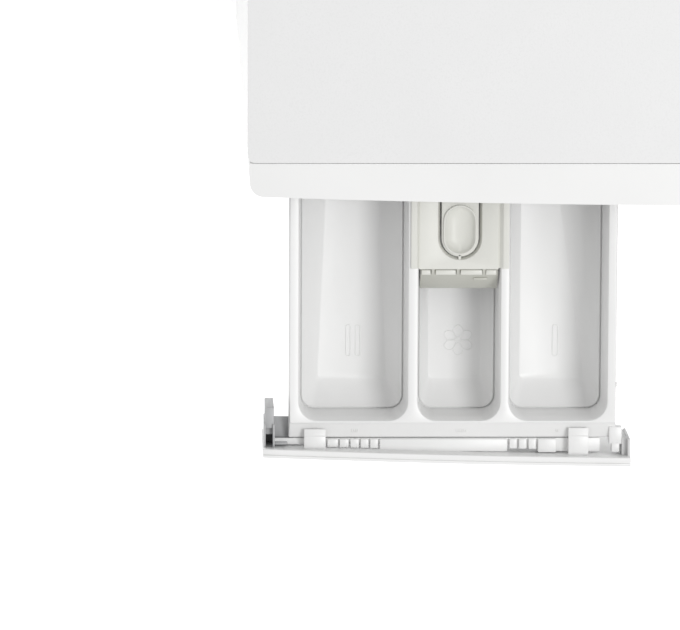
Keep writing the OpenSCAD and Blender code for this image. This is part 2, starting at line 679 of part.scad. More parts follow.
module tub_rear() color("lightgray") machine() difference() {
    union() {
        on_drum_axis() {
            translate([0, 0, joint_y]) cylinder(h = tub_y1 + 6 - joint_y, r = tub_r + tub_wall);
            translate([0, 0, joint_y]) cylinder(h = 8, r = flange_r);
            translate([0, 0, tub_y1]) cylinder(h = hub_y1 - tub_y1, r = 48);
            for (a = [22.5 : 45 : 337.5]) rotate([0, 0, a])
                box([40, -3, tub_y1 + 5], [tub_r - 20, 3, tub_y1 + 26]);
        }
        for (s = [-1, 1]) {
            box([s * spring_x - 14, spring_y - 10, drum_z + 150], [s * spring_x + 14, spring_y + 10, spring_z0 - 16]);
            box([s * damper_x - 14, damper_y - 14, 206], [s * damper_x + 14, damper_y + 14, drum_z - 200]);
        }
        for (x = [-32, 20]) box([x, 60, motor_z + 38], [x + 12, 110, drum_z - 240]);
    }
    on_drum_axis() {
        translate([0, 0, joint_y - 1]) cylinder(h = tub_y1 - joint_y + 1, r = tub_r);
        translate([0, 0, tub_y1 - 10]) cylinder(h = 100, r = 16);
        translate([0, 0, tub_y1 - 10]) cylinder(h = 33, r = 26);
        translate([0, 0, hub_y1 - 14]) cylinder(h = 20, r = 23.5);
        for (a = [15 : 30 : 345]) rotate([0, 0, a]) translate([flange_r - 6, 0, joint_y - 1])
            cylinder(h = 20, r = 2.6);
        for (x = [-22, 22]) translate([x, tub_r - 9, tub_y1 - 1]) cylinder(h = 10, r = 4.3);
    }
    for (s = [-1, 1]) translate([s * spring_x, spring_y, spring_z0 - 30]) cylinder(h = 20, r = 3);
    along_y(0, motor_z) translate([0, 0, 40]) cylinder(h = 90, r = 50);
}

module tub_seals() color("black") machine() on_drum_axis() {
    translate([0, 0, seal_y]) tube(26, 13, 8);
    translate([0, 0, joint_y - 5]) tube(tub_r - 0.2, tub_r - 2.5, 10);
}

module tub_screws() color("silver") machine() on_drum_axis()
    for (a = [15 : 30 : 345]) rotate([0, 0, a]) translate([flange_r - 6, 0, joint_y - 12]) {
        cylinder(h = 4, r = 5);
        cylinder(h = 18, r = 2.5);
    }

module counterweights() color("darkgray") machine() {
    on_drum_axis() translate([0, 0, tub_y0 - 34]) difference() {
        tube(252, 196, 34);
        translate([-300, -40, -1]) cube([600, 80, 40]);
    }
    difference() {
        box([-70, -90, 640], [150, 90, 742]);
        on_drum_axis() translate([0, 0, -200]) cylinder(h = 400, r = flange_r + 0.3);
    }
}

module heater() color("silver") machine() {
    z = drum_z - tub_r + 9;
    rod_y(-22, z, -120, tub_y1 + 14, 4);
    rod_y(22, z, -120, tub_y1 + 14, 4);
    translate([0, -120, z]) rotate([0, 0, 180]) rotate_extrude(angle = 180) translate([22, 0]) circle(r = 4, $fn = 32);
}

module bearings() color("silver") machine() on_drum_axis() {
    translate([0, 0, seal_y + 9]) tube(26, 12.5, 8);
    translate([0, 0, hub_y1 - 14]) tube(23.5, 10, 14);
}

module damper_rods() color("silver") machine()
    for (s = [-1, 1]) translate([s * damper_x, damper_y, 110]) {
        cylinder(h = 96, r = 9.95);
    }

module damper_cylinders() color("dimgray") machine()
    for (s = [-1, 1]) translate([s * damper_x, damper_y, foot_gap + 1.5]) {
        difference() {
            union() {
                cylinder(h = 128, r = 14);
                translate([-24, -16, 0]) cube([48, 32, 6]);
            }
            translate([0, 0, 26]) cylinder(h = 110, r = 10);
        }
    }

// coil with straight wire ends through the hanger above and the lug below
coil_r = 13;
coil_turns = 12;
coil_steps = 10;
coil_z0 = spring_z0 + 4;
coil_h = spring_z1 - 10 - coil_z0;
function coil(x) = concat(
    [[x, spring_y, spring_z0 - 26], [x, spring_y, coil_z0 - 8]],
    [for (i = [0 : coil_turns * coil_steps]) let (a = 360 * i / coil_steps)
        [x + coil_r * cos(a), spring_y + coil_r * sin(a), coil_z0 + coil_h * i / (coil_turns * coil_steps)]],
    [[x, spring_y, spring_z1 - 2], [x, spring_y, spring_z1 + 12]]);
module suspension_springs() color("silver") machine() for (s = [-1, 1]) swept(coil(s * spring_x), 1.8, 6);

// ---------------------------------------------------------------- drum and drive

module drum_shell() color("silver") machine() on_drum_axis() translate([0, 0, drum_y0])
    tube(drum_r, drum_r - 1, drum_l);

module drum_front() color("silver") machine() on_drum_axis() turned(concat(
    [[drum_r - 1.6, drum_y0 + 12], [drum_r - 1.6, drum_y0 + 0.6]],
    arc([mouth_r + 8, drum_y0 + 12.6], 12, -90, -180, 5)), 1.2);

module drum_back() color("silver") machine() on_drum_axis() translate([0, 0, drum_y1 - 5])
    difference() {
        cylinder(h = 5, r = drum_r - 1);
        translate([0, 0, -1]) cylinder(h = 5, r = drum_r - 2.2);
        for (a = [60 : 120 : 300]) rotate([0, 0, a]) for (r = [90 : 24 : 186])
            translate([r, 0, 3]) cylinder(h = 4, r = 5);
    }

module lifters() color("whitesmoke") machine() on_drum_axis() for (a = [90 : 120 : 330]) rotate([0, 0, a])
    translate([0, 0, drum_y0 + 20]) linear_extrude(drum_l - 40)
        polygon([[drum_r - 3.6, -32], [drum_r - 46, -12], [drum_r - 50, -6],
            [drum_r - 50, 6], [drum_r - 46, 12], [drum_r - 3.6, 32], [drum_r - 8, 0]]);

module spider() color("gray") machine() on_drum_axis() {
    difference() {
        union() {
            translate([0, 0, drum_y1 + 0.2]) cylinder(h = 26, r = 34);
            for (a = [30 : 120 : 270]) rotate([0, 0, a])
                box([20, -13, drum_y1 + 0.2], [drum_r - 14, 13, drum_y1 + 16]);
        }
        translate([0, 0, drum_y1 - 1]) cylinder(h = 60, r = 14);
    }
}

module drum_shaft() color("silver") machine() on_drum_axis() {
    translate([0, 0, drum_y1 + 1]) cylinder(h = 35, r = 14);
    translate([0, 0, drum_y1 + 20]) cylinder(h = 60, r = 12.45);
    translate([0, 0, drum_y1 + 60]) cylinder(h = 70, r = 9.95);
}

module drum_pulley() color("silver") machine() on_drum_axis() translate([0, 0, pulley_y]) difference() {
    union() {
        tube(pulley_r, pulley_r - 10, pulley_w);
        cylinder(h = pulley_w, r = 30);
        for (a = [0 : 72 : 288]) rotate([0, 0, a]) box([24, -10, 3], [pulley_r - 5, 10, pulley_w - 3]);
    }
    translate([0, 0, -1]) cylinder(h = pulley_w + 2, r = 10);
}

module motor() color("dimgray") machine() along_y(0, motor_z) difference() {
    union() {
        translate([0, 0, 46]) cylinder(h = 128, r = 49.5);
        translate([0, 0, 46]) cylinder(h = 140, r = 22);
    }
    translate([0, 0, 150]) cylinder(h = 60, r = 6.05);
}

module motor_pulley() color("silver") machine() along_y(0, motor_z) {
    translate([0, 0, pulley_y - 2]) cylinder(h = pulley_w + 4, r = motor_pulley_r);
    translate([0, 0, 152]) cylinder(h = pulley_y - 150, r = 6);
}

module belt_loop(extra) hull() {
    circle(r = pulley_r + 0.5 + extra, $fn = 160);
    translate([0, drum_z - motor_z]) circle(r = motor_pulley_r + 0.5 + extra, $fn = 48);
}
module drive_belt() color("black") machine() on_drum_axis() translate([0, 0, pulley_y + 1])
    linear_extrude(pulley_w - 2) difference() {
        belt_loop(3);
        belt_loop(0);
    }

side_panel_left();
side_panel_right();
rear_panel();
worktop();
front_panel();
control_fascia();
base_pan();
cross_braces();
kick_panel();
cabinet_screws();
dispenser_housing();
inlet_valve();
pressure_switch();
control_board();
display_window();
program_knob();
start_button();
option_button();
drawer_tray();
drawer_front();
siphon_cap();
release_tongue();
door_hinge();
hinge_pin();
door_outer_ring();
door_inner_ring();
door_glass();
door_handle();
door_lock();
door_gasket();
tub_front();
tub_rear();
tub_seals();
tub_screws();
counterweights();
heater();
bearings();
drum_shell();
drum_front();
drum_back();
lifters();
spider();
drum_shaft();
drum_pulley();
drive_belt();
motor();
motor_pulley();
suspension_springs();
damper_cylinders();
damper_rods();
pump_housing();
pump_impeller();
filter_cap();
filter_flap();
hoses();
cord_gland();
foot_front_left();
foot_front_right();
foot_rear_left();
foot_rear_right();
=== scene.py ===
# Front load washing machine with its detergent drawer open: the looks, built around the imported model.
import json
import math

import bmesh
import bpy
from mathutils import Matrix, Vector


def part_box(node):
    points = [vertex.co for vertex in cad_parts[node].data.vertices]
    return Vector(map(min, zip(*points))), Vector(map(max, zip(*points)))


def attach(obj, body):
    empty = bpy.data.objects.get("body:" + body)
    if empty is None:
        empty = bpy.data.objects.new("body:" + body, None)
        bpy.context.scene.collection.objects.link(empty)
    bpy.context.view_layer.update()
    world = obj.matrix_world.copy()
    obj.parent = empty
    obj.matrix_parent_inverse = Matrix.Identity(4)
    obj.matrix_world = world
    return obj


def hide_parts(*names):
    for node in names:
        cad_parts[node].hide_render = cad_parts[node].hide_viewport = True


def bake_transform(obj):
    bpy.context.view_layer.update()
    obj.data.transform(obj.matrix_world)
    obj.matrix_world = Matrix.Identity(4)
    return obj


MM = 0.001
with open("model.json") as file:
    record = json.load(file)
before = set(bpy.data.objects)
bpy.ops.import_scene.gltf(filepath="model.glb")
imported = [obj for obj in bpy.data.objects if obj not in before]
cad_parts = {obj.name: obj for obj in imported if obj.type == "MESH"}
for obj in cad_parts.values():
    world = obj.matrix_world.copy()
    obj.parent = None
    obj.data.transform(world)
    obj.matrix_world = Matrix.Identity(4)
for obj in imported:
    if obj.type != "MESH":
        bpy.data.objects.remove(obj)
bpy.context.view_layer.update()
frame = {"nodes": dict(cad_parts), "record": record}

tray_low, tray_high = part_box("drawer_tray")
front_low, front_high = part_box("drawer_front")
cap_low, cap_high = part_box("siphon_cap")
tongue_low, tongue_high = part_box("release_tongue")
fascia_low, fascia_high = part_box("control_fascia")
drum_low, drum_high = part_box("drum_shell")
drum_axis_z = (drum_low.z + drum_high.z) / 2
rim_z = tray_high.z


# ---------------------------------------------------------------- camera, lights and stage

def set_camera():
    """A long lens straight above the front left corner, leaning a little to the rear."""
    width_seen = 0.382
    lean_back, lean_left = math.radians(8.5), math.radians(1.5)
    camera = bpy.data.cameras.new("camera")
    camera.lens = 300
    camera.sensor_width = 36
    camera.clip_end = 50
    holder = bpy.data.objects.new("camera", camera)
    bpy.context.scene.collection.objects.link(holder)
    aim = Vector((fascia_low.x + 51.2 * MM, fascia_low.y - 66.5 * MM, rim_z))
    z = Vector((-math.sin(lean_left), math.sin(lean_back), math.cos(lean_back))).normalized()
    x = Vector((math.sin(math.radians(-0.2)), 1, 0)).cross(z).normalized()
    turned = Matrix((x, z.cross(x), z)).transposed().to_4x4()
    distance = width_seen * camera.lens / camera.sensor_width
    holder.matrix_world = Matrix.Translation(aim + z * distance) @ turned
    bpy.context.scene.camera = holder


def set_lights():
    world = bpy.data.worlds.new("studio")
    bpy.context.scene.world = world
    world.use_nodes = True
    tree = world.node_tree
    sky = tree.nodes["Background"]
    sky.inputs["Color"].default_value = (1.0, 1.0, 1.0, 1)
    # soft fill for the light that reaches the machine, and a white surround where nothing stands
    seen = node(tree, "ShaderNodeLightPath").outputs["Is Camera Ray"]
    strength = node(tree, "ShaderNodeMapRange", {"Value": seen, "To Min": 0.62, "To Max": 1.0})
    tree.links.new(strength.outputs["Result"], sky.inputs["Strength"])
    middle = Vector((0, 0, 0.6))
    for name, place, size, watts in (
            ("overhead softbox", Vector((1.3, -0.2, 4.2)), 1.0, 52),
            ("front softbox", Vector((-1.6, -3.6, 1.9)), 1.8, 12)):
        light = bpy.data.lights.new(name, "AREA")
        light.size = size
        light.energy = watts
        holder = bpy.data.objects.new(name, light)
        bpy.context.scene.collection.objects.link(holder)
        turned = (place - middle).to_track_quat("Z", "Y").to_matrix().to_4x4()
        holder.matrix_world = Matrix.Translation(place) @ turned
    bpy.context.scene.view_settings.view_transform = "Standard"


# ---------------------------------------------------------------- shader node groups

def new_group(name, inputs, outputs):
    """A shader node group: its tree, its inputs' node and its outputs' node."""
    tree = bpy.data.node_groups.new(name, "ShaderNodeTree")
    for label, kind, value in inputs:
        socket = tree.interface.new_socket(name=label, in_out="INPUT", socket_type=kind)
        if value is not None:
            socket.default_value = value
    for label, kind in outputs:
        tree.interface.new_socket(name=label, in_out="OUTPUT", socket_type=kind)
    return tree, tree.nodes.new("NodeGroupInput"), tree.nodes.new("NodeGroupOutput")


def node(tree, kind, links=(), **settings):
    """A node with its properties set and its inputs filled: a number, a colour, or another node's socket."""
    made = tree.nodes.new(kind)
    for key, value in settings.items():
        setattr(made, key, value)
    for socket, value in dict(links).items():
        if isinstance(value, bpy.types.NodeSocket):
            tree.links.new(value, made.inputs[socket])
        else:
            made.inputs[socket].default_value = value
    return made


def maths(tree, operation, a, b=0.0):
    return node(tree, "ShaderNodeMath", {0: a, 1: b}, operation=operation).outputs[0]


FLOAT, COLOUR, VECTOR = "NodeSocketFloat", "NodeSocketColor", "NodeSocketVector"


def moulded_grain():
    """Fine spark texture of a moulded skin: roughness that drifts, and a height."""
    tree, given, out = new_group("moulded grain", [
        ("Vector", VECTOR, None), ("Scale", FLOAT, 1500.0),
        ("Rough Low", FLOAT, 0.3), ("Rough High", FLOAT, 0.5)],
        [("Roughness", FLOAT), ("Height", FLOAT)])
    at = given.outputs["Vector"]
    fine = node(tree, "ShaderNodeTexNoise", {"Vector": at, "Scale": given.outputs["Scale"],
                                             "Detail": 3.0, "Roughness": 0.6})
    broad = node(tree, "ShaderNodeTexNoise", {"Vector": at, "Scale": 14.0, "Detail": 4.0})
    mixed = maths(tree, "ADD", maths(tree, "MULTIPLY", fine.outputs["Fac"], 0.35),
                  maths(tree, "MULTIPLY", broad.outputs["Fac"], 0.65))
    rough = node(tree, "ShaderNodeMapRange", {"Value": mixed, "From Min": 0.3, "From Max": 0.7,
                                              "To Min": given.outputs["Rough Low"],
                                              "To Max": given.outputs["Rough High"]})
    tree.links.new(rough.outputs["Result"], out.inputs["Roughness"])
    tree.links.new(fine.outputs["Fac"], out.inputs["Height"])
    return tree


def tone_drift():
    """Two close tones of one material, mixed in soft clouds."""
    tree, given, out = new_group("tone drift", [
        ("Vector", VECTOR, None), ("Scale", FLOAT, 9.0),
        ("Light Tone", COLOUR, None), ("Deep Tone", COLOUR, None)],
        [("Color", COLOUR)])
    clouds = node(tree, "ShaderNodeTexNoise", {"Vector": given.outputs["Vector"], "Detail": 5.0,
                                               "Scale": given.outputs["Scale"], "Roughness": 0.55})
    ramp = node(tree, "ShaderNodeMapRange", {"Value": clouds.outputs["Fac"],
                                             "From Min": 0.35, "From Max": 0.65}, clamp=True)
    mix = node(tree, "ShaderNodeMix", {0: ramp.outputs["Result"], 6: given.outputs["Light Tone"],
                                       7: given.outputs["Deep Tone"]}, data_type="RGBA")
    tree.links.new(mix.outputs[2], out.inputs["Color"])
    return tree


def drawn_lines():
    """Lines left by rolling, brushing or turning, along one axis."""
    tree, given, out = new_group("drawn lines", [
        ("Vector", VECTOR, None), ("Stretch", VECTOR, None),
        ("Rough Low", FLOAT, 0.2), ("Rough High", FLOAT, 0.4)],
        [("Roughness", FLOAT), ("Height", FLOAT)])
    drawn = node(tree, "ShaderNodeVectorMath", {0: given.outputs["Vector"], 1: given.outputs["Stretch"]},
                 operation="MULTIPLY")
    lines = node(tree, "ShaderNodeTexNoise", {"Vector": drawn.outputs[0], "Scale": 1.0, "Detail": 5.0})
    rough = node(tree, "ShaderNodeMapRange", {"Value": lines.outputs["Fac"], "From Min": 0.3, "From Max": 0.7,
                                              "To Min": given.outputs["Rough Low"],
                                              "To Max": given.outputs["Rough High"]})
    tree.links.new(rough.outputs["Result"], out.inputs["Roughness"])
    tree.links.new(lines.outputs["Fac"], out.inputs["Height"])
    return tree


def speckle():
    """Small darker chips scattered in a lighter ground, as in laminate and cast stone."""
    tree, given, out = new_group("speckle", [
        ("Vector", VECTOR, None), ("Scale", FLOAT, 700.0), ("Share", FLOAT, 0.25)], [("Mask", FLOAT)])
    chips = node(tree, "ShaderNodeTexVoronoi", {"Vector": given.outputs["Vector"],
                                                "Scale": given.outputs["Scale"]})
    amount = node(tree, "ShaderNodeSeparateColor", {"Color": chips.outputs["Color"]})
    picked = maths(tree, "LESS_THAN", amount.outputs[0], given.outputs["Share"])
    tree.links.new(picked, out.inputs["Mask"])
    return tree


def hole_grid():
    """Round holes in rows around the drum's axis and along it."""
    tree, given, out = new_group("hole grid", [
        ("Vector", VECTOR, None), ("Radius", FLOAT, 0.237), ("Pitch", FLOAT, 0.019), ("Hole", FLOAT, 0.13)],
        [("Mask", FLOAT), ("Dimple", FLOAT)])
    axes = node(tree, "ShaderNodeSeparateXYZ", {"Vector": given.outputs["Vector"]})
    angle = maths(tree, "ARCTAN2", axes.outputs["X"], axes.outputs["Z"])
    arc = maths(tree, "MULTIPLY", angle, given.outputs["Radius"])
    around = maths(tree, "DIVIDE", arc, given.outputs["Pitch"])
    along = maths(tree, "DIVIDE", axes.outputs["Y"], given.outputs["Pitch"])
    row = maths(tree, "FLOOR", along)
    stagger = maths(tree, "ADD", around, maths(tree, "MULTIPLY", maths(tree, "MODULO", row, 2.0), 0.5))
    du = maths(tree, "SUBTRACT", maths(tree, "FRACT", stagger), 0.5)
    dv = maths(tree, "SUBTRACT", maths(tree, "FRACT", along), 0.5)
    squares = maths(tree, "ADD", maths(tree, "MULTIPLY", du, du), maths(tree, "MULTIPLY", dv, dv))
    reach = maths(tree, "SQRT", squares)
    hole = maths(tree, "LESS_THAN", reach, given.outputs["Hole"])
    dimple = node(tree, "ShaderNodeMapRange", {"Value": reach, "From Min": 0.12, "From Max": 0.5,
                                               "To Min": 0.0, "To Max": 1.0}, interpolation_type="SMOOTHSTEP")
    tree.links.new(hole, out.inputs["Mask"])
    tree.links.new(dimple.outputs["Result"], out.inputs["Dimple"])
    return tree


GRAIN, DRIFT, LINES, SPECKLE, HOLES = moulded_grain(), tone_drift(), drawn_lines(), speckle(), hole_grid()


# ---------------------------------------------------------------- materials

class Finish:
    """A material being built: its tree, the Principled shader and the object's own coordinates."""

    def __init__(self, name, **shader):
        self.material = bpy.data.materials.new(name)
        self.material.use_nodes = True
        self.tree = self.material.node_tree
        self.skin = self.tree.nodes["Principled BSDF"]
        for label, value in shader.items():
            self.skin.inputs[label.replace("_", " ").title().replace("Ior", "IOR")].default_value = value
        self.at = node(self.tree, "ShaderNodeTexCoord").outputs["Object"]

    def use(self, group, **values):
        """A node group placed on the object's own coordinates, with its other inputs filled by name."""
        inputs = {label.replace("_", " ").title(): value for label, value in values.items()}
        return node(self.tree, "ShaderNodeGroup", {"Vector": self.at, **inputs}, node_tree=group)

    def link(self, out, label):
        self.tree.links.new(out, self.skin.inputs[label])

    def bump(self, height, distance, strength=1.0, under=None):
        made = node(self.tree, "ShaderNodeBump",
                    {"Height": height, "Distance": distance, "Strength": strength})
        if under is not None:
            self.tree.links.new(under, made.inputs["Normal"])
        self.link(made.outputs["Normal"], "Normal")
        return made.outputs["Normal"]

    def tones(self, light, deep, scale=9.0):
        drift = self.use(DRIFT, scale=scale, light_tone=(*light, 1), deep_tone=(*deep, 1))
        self.link(drift.outputs["Color"], "Base Color")
        return drift.outputs["Color"]

    def marked(self, mask, ground, colour):
        """Lays a plain colour over the ground's colour where the mask is set."""
        mix = node(self.tree, "ShaderNodeMix", {0: mask, 6: ground, 7: (*colour, 1)}, data_type="RGBA")
        self.link(mix.outputs[2], "Base Color")

    def grain(self, scale, low, high, depth):
        skin = self.use(GRAIN, scale=scale, rough_low=low, rough_high=high)
        self.link(skin.outputs["Roughness"], "Roughness")
        return self.bump(skin.outputs["Height"], depth)


def moulded(name, light, deep, scale=1500.0, low=0.3, high=0.46, depth=0.00004, **shader):
    finish = Finish(name, **shader)
    finish.tones(light, deep)
    finish.grain(scale, low, high, depth)
    return finish.material


def white_plastic():
    return moulded("white_plastic", (0.90, 0.90, 0.895), (0.87, 0.87, 0.865), 1900.0, 0.28, 0.40, 0.00003)


def warm_grey_plastic():
    return moulded("warm_grey_plastic", (0.78, 0.78, 0.735), (0.75, 0.75, 0.705), 1700.0, 0.30, 0.44, 0.00004)


def grey_plastic():
    return moulded("grey_plastic", (0.45, 0.455, 0.46), (0.40, 0.405, 0.41), 900.0, 0.45, 0.62, 0.00010)


def dark_plastic():
    return moulded("dark_plastic", (0.028, 0.028, 0.03), (0.018, 0.018, 0.02), 1100.0, 0.42, 0.6, 0.00008)


def display_black():
    return moulded("display_black", (0.012, 0.012, 0.014), (0.008, 0.008, 0.009), 400.0, 0.05, 0.12, 0.00001,
                   coat_weight=0.6)


def white_enamel():
    finish = Finish("white_enamel", coat_weight=0.35, coat_roughness=0.12)
    finish.tones((0.86, 0.86, 0.855), (0.85, 0.85, 0.845), 5.0)
    finish.grain(420.0, 0.27, 0.31, 0.00001)
    return finish.material


def galvanised_sheet():
    finish = Finish("galvanised_sheet", metallic=1.0)
    finish.tones((0.60, 0.61, 0.62), (0.46, 0.47, 0.49), 60.0)
    finish.grain(180.0, 0.38, 0.6, 0.00003)
    return finish.material


def worktop_laminate():
    finish = Finish("worktop_laminate", coat_weight=0.1)
    clouds = finish.tones((0.835, 0.835, 0.835), (0.825, 0.825, 0.825), 30.0)
    chips = finish.use(SPECKLE, scale=1400.0, share=0.2)
    finish.marked(chips.outputs["Mask"], clouds, (0.815, 0.815, 0.815))
    finish.grain(800.0, 0.34, 0.48, 0.00004)
    return finish.material


def circuit_board():
    finish = Finish("circuit_board")
    finish.tones((0.03, 0.16, 0.06), (0.02, 0.12, 0.045), 120.0)
    finish.grain(600.0, 0.25, 0.45, 0.00005)
    return finish.material


def chrome_trim():
    finish = Finish("chrome_trim", metallic=0.9)
    finish.tones((0.62, 0.63, 0.65), (0.55, 0.56, 0.58), 20.0)
    finish.grain(900.0, 0.16, 0.28, 0.00002)
    return finish.material


def door_glass():
    finish = Finish("door_glass", transmission_weight=1.0, ior=1.47)
    finish.tones((0.93, 0.97, 0.97), (0.90, 0.95, 0.95), 6.0)
    finish.grain(40.0, 0.01, 0.03, 0.000004)
    return finish.material


def gasket_rubber():
    return moulded("gasket_rubber", (0.24, 0.245, 0.25), (0.20, 0.205, 0.21), 700.0, 0.42, 0.58, 0.00008)


def black_rubber():
    return moulded("black_rubber", (0.022, 0.022, 0.022), (0.014, 0.014, 0.014), 500.0, 0.5, 0.75, 0.00014)


def drawn_metal(name, light, deep, stretch, low, high, depth=0.00002):
    finish = Finish(name, metallic=1.0)
    finish.tones(light, deep, 25.0)
    lines = finish.use(LINES, stretch=stretch, rough_low=low, rough_high=high)
    finish.link(lines.outputs["Roughness"], "Roughness")
    finish.bump(lines.outputs["Height"], depth)
    return finish.material


def zinc_steel():
    return drawn_metal("zinc_steel", (0.58, 0.60, 0.62), (0.48, 0.49, 0.50), (900, 900, 90), 0.24, 0.42)


def stainless_steel():
    return drawn_metal("stainless_steel", (0.66, 0.67, 0.68), (0.58, 0.59, 0.60), (60, 1400, 60), 0.16, 0.30)


def perforated_steel():
    """Stainless sheet with the drum's punched holes, each in a shallow dimple; the holes are painted near
    black, painted shade for the dark tub seen through them.
    """
    finish = Finish("stainless_steel_perforated")
    centred = node(finish.tree, "ShaderNodeMapping", {"Vector": finish.at, "Location": (0, 0, -drum_axis_z)})
    finish.at = centred.outputs["Vector"]
    grid = finish.use(HOLES, radius=(drum_high.x - drum_low.x) / 2, pitch=0.019, hole=0.12)
    ground = finish.tones((0.66, 0.67, 0.68), (0.58, 0.59, 0.60), 25.0)
    # near black in the holes: painted shade standing in for the dark inside seen through them
    finish.marked(grid.outputs["Mask"], ground, (0.01, 0.01, 0.01))
    metal = maths(finish.tree, "SUBTRACT", 1.0, grid.outputs["Mask"])
    finish.link(metal, "Metallic")
    lines = finish.use(LINES, stretch=(60, 1400, 60), rough_low=0.16, rough_high=0.3)
    finish.link(lines.outputs["Roughness"], "Roughness")
    dimples = finish.bump(grid.outputs["Dimple"], 0.0004, 0.6)
    finish.bump(lines.outputs["Height"], 0.00002, 1.0, dimples)
    return finish.material


def cast_aluminium():
    finish = Finish("cast_aluminium", metallic=1.0)
    finish.tones((0.56, 0.57, 0.58), (0.46, 0.47, 0.48), 35.0)
    finish.grain(450.0, 0.42, 0.62, 0.00025)
    return finish.material


def concrete():
    finish = Finish("concrete")
    clouds = finish.tones((0.42, 0.41, 0.39), (0.32, 0.31, 0.30), 18.0)
    chips = finish.use(SPECKLE, scale=300.0, share=0.3)
    finish.marked(chips.outputs["Mask"], clouds, (0.24, 0.235, 0.23))
    finish.grain(160.0, 0.8, 0.95, 0.0006)
    return finish.material


def motor_casing():
    finish = Finish("motor_casing", metallic=0.6)
    finish.tones((0.09, 0.095, 0.10), (0.06, 0.062, 0.066), 30.0)
    finish.grain(500.0, 0.45, 0.65, 0.00012)
    return finish.material


def lit_segments():
    finish = Finish("lit_segments", emission_strength=1.6)
    finish.tones((0.80, 0.86, 0.88), (0.74, 0.80, 0.83), 60.0)
    finish.skin.inputs["Emission Color"].default_value = (0.62, 0.85, 0.95, 1)
    finish.grain(900.0, 0.3, 0.4, 0.00001)
    return finish.material


def studio_floor():
    finish = Finish("studio_floor", emission_strength=0.5)
    finish.tones((0.92, 0.92, 0.92), (0.91, 0.91, 0.91), 2.0)
    finish.skin.inputs["Emission Color"].default_value = (1, 1, 1, 1)
    finish.grain(60.0, 0.7, 0.85, 0.0001)
    return finish.material


FINISHES = {make.__name__: make() for make in (
    white_plastic, warm_grey_plastic, grey_plastic, dark_plastic, display_black, white_enamel,
    galvanised_sheet, worktop_laminate, circuit_board, chrome_trim, door_glass, gasket_rubber, black_rubber,
    zinc_steel, stainless_steel, cast_aluminium, concrete, motor_casing)}

# finishes of single pieces, which share a slot with one of the finishes above
# skirt, ribs and rod of the siphon cap: the warm grey plastic made darker, painted shade for their steep faces
# seen in shadow
SKIRT_SHADE = moulded("warm_grey_plastic_painted_shade", (0.60, 0.60, 0.55), (0.56, 0.56, 0.51), 1700.0, 0.34, 0.48)
# left guide, its web and wall: a darker grey that paints the shade in the recess at the drawer front's left
# end
GUIDE = moulded("guide_grey_plastic_painted_shade", (0.50, 0.505, 0.51), (0.46, 0.465, 0.47), 1200.0, 0.34, 0.5, 0.00005)
# right guide: a pale grey, painted shade for its walls turned away from the light
GUIDE_PALE = moulded("guide_pale_grey_plastic_painted_shade", (0.74, 0.74, 0.74), (0.70, 0.70, 0.70),
                     1200.0, 0.34, 0.5, 0.00005)
# a dark grey block down in the left guide's hollow: painted shade for the deep slot
POCKET_SHADE = moulded("pocket_painted_shade_grey", (0.42, 0.42, 0.425), (0.38, 0.38, 0.385), 1200.0, 0.4, 0.55, 0.00005)
PRINT = moulded("printed_grey", (0.10, 0.10, 0.105), (0.085, 0.085, 0.09), 800.0, 0.5, 0.6, 0.00001)
PERFORATED = perforated_steel()
BRUSHED = drawn_metal("stainless_steel_brushed", (0.66, 0.67, 0.68), (0.60, 0.61, 0.62),
                      (1100, 50, 50), 0.2, 0.3)
LIT = lit_segments()


# ---------------------------------------------------------------- making pieces

def face_outwards(bm):
    """Makes the faces of every closed shell point away from its inside."""
    bmesh.ops.recalc_face_normals(bm, faces=bm.faces)
    bm.normal_update()
    left = set(bm.faces)
    while left:
        shell, found = set(), [left.pop()]
        middle = found[0].calc_center_median()
        while found:
            face = found.pop()
            shell.add(face)
            near = {f for e in face.edges for f in e.link_faces} & left
            left -= near
            found.extend(near)
        if sum(f.calc_area() * f.normal.dot(f.calc_center_median() - middle) for f in shell) < 0:
            bmesh.ops.reverse_faces(bm, faces=list(shell))


def finished(bm, name, slot, body=None, crease=32, material=None):
    """Turns the mesh work into a piece with its finish, riding on a body."""
    mesh = bpy.data.meshes.new(name)
    face_outwards(bm)
    bm.to_mesh(mesh)
    bm.free()
    piece = bpy.data.objects.new(name, mesh)
    bpy.context.scene.collection.objects.link(piece)
    mesh.materials.append(material or FINISHES[slot])
    mesh.shade_smooth()
    mesh.set_sharp_from_angle(angle=math.radians(crease))
    if body:
        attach(piece, body)
    return piece


def only(geom, kind):
    return [g for g in geom if isinstance(g, kind)]


def block(bm, low, high, round_by=0.0, segments=2):
    """A rectangular bar between two corners, with rounded edges."""
    low, high = Vector(low), Vector(high)
    size = high - low
    made = bmesh.ops.create_cube(bm, size=1.0)["verts"]
    bmesh.ops.scale(bm, vec=size, verts=made)
    bmesh.ops.translate(bm, vec=(low + high) / 2, verts=made)
    if round_by:
        edges = list({e for v in made for e in v.link_edges})
        bmesh.ops.bevel(bm, geom=edges, offset=min(round_by, min(size) * 0.45), affect="EDGES",
                        segments=segments, profile=0.5, material=-1)


def prism(bm, section, start, end, round_by=0.0):
    """Extrudes a closed outline from one place to another; section points are full positions at the start."""
    verts = [bm.verts.new(p) for p in section]
    face = bm.faces.new(verts)
    out = bmesh.ops.extrude_face_region(bm, geom=[face])
    moved = only(out["geom"], bmesh.types.BMVert)
    bmesh.ops.translate(bm, vec=Vector(end) - Vector(start), verts=moved)
    if round_by:
        edges = list({e for v in verts + moved for e in v.link_edges})
        bmesh.ops.bevel(bm, geom=edges, offset=round_by, affect="EDGES", segments=2, profile=0.5, material=-1)


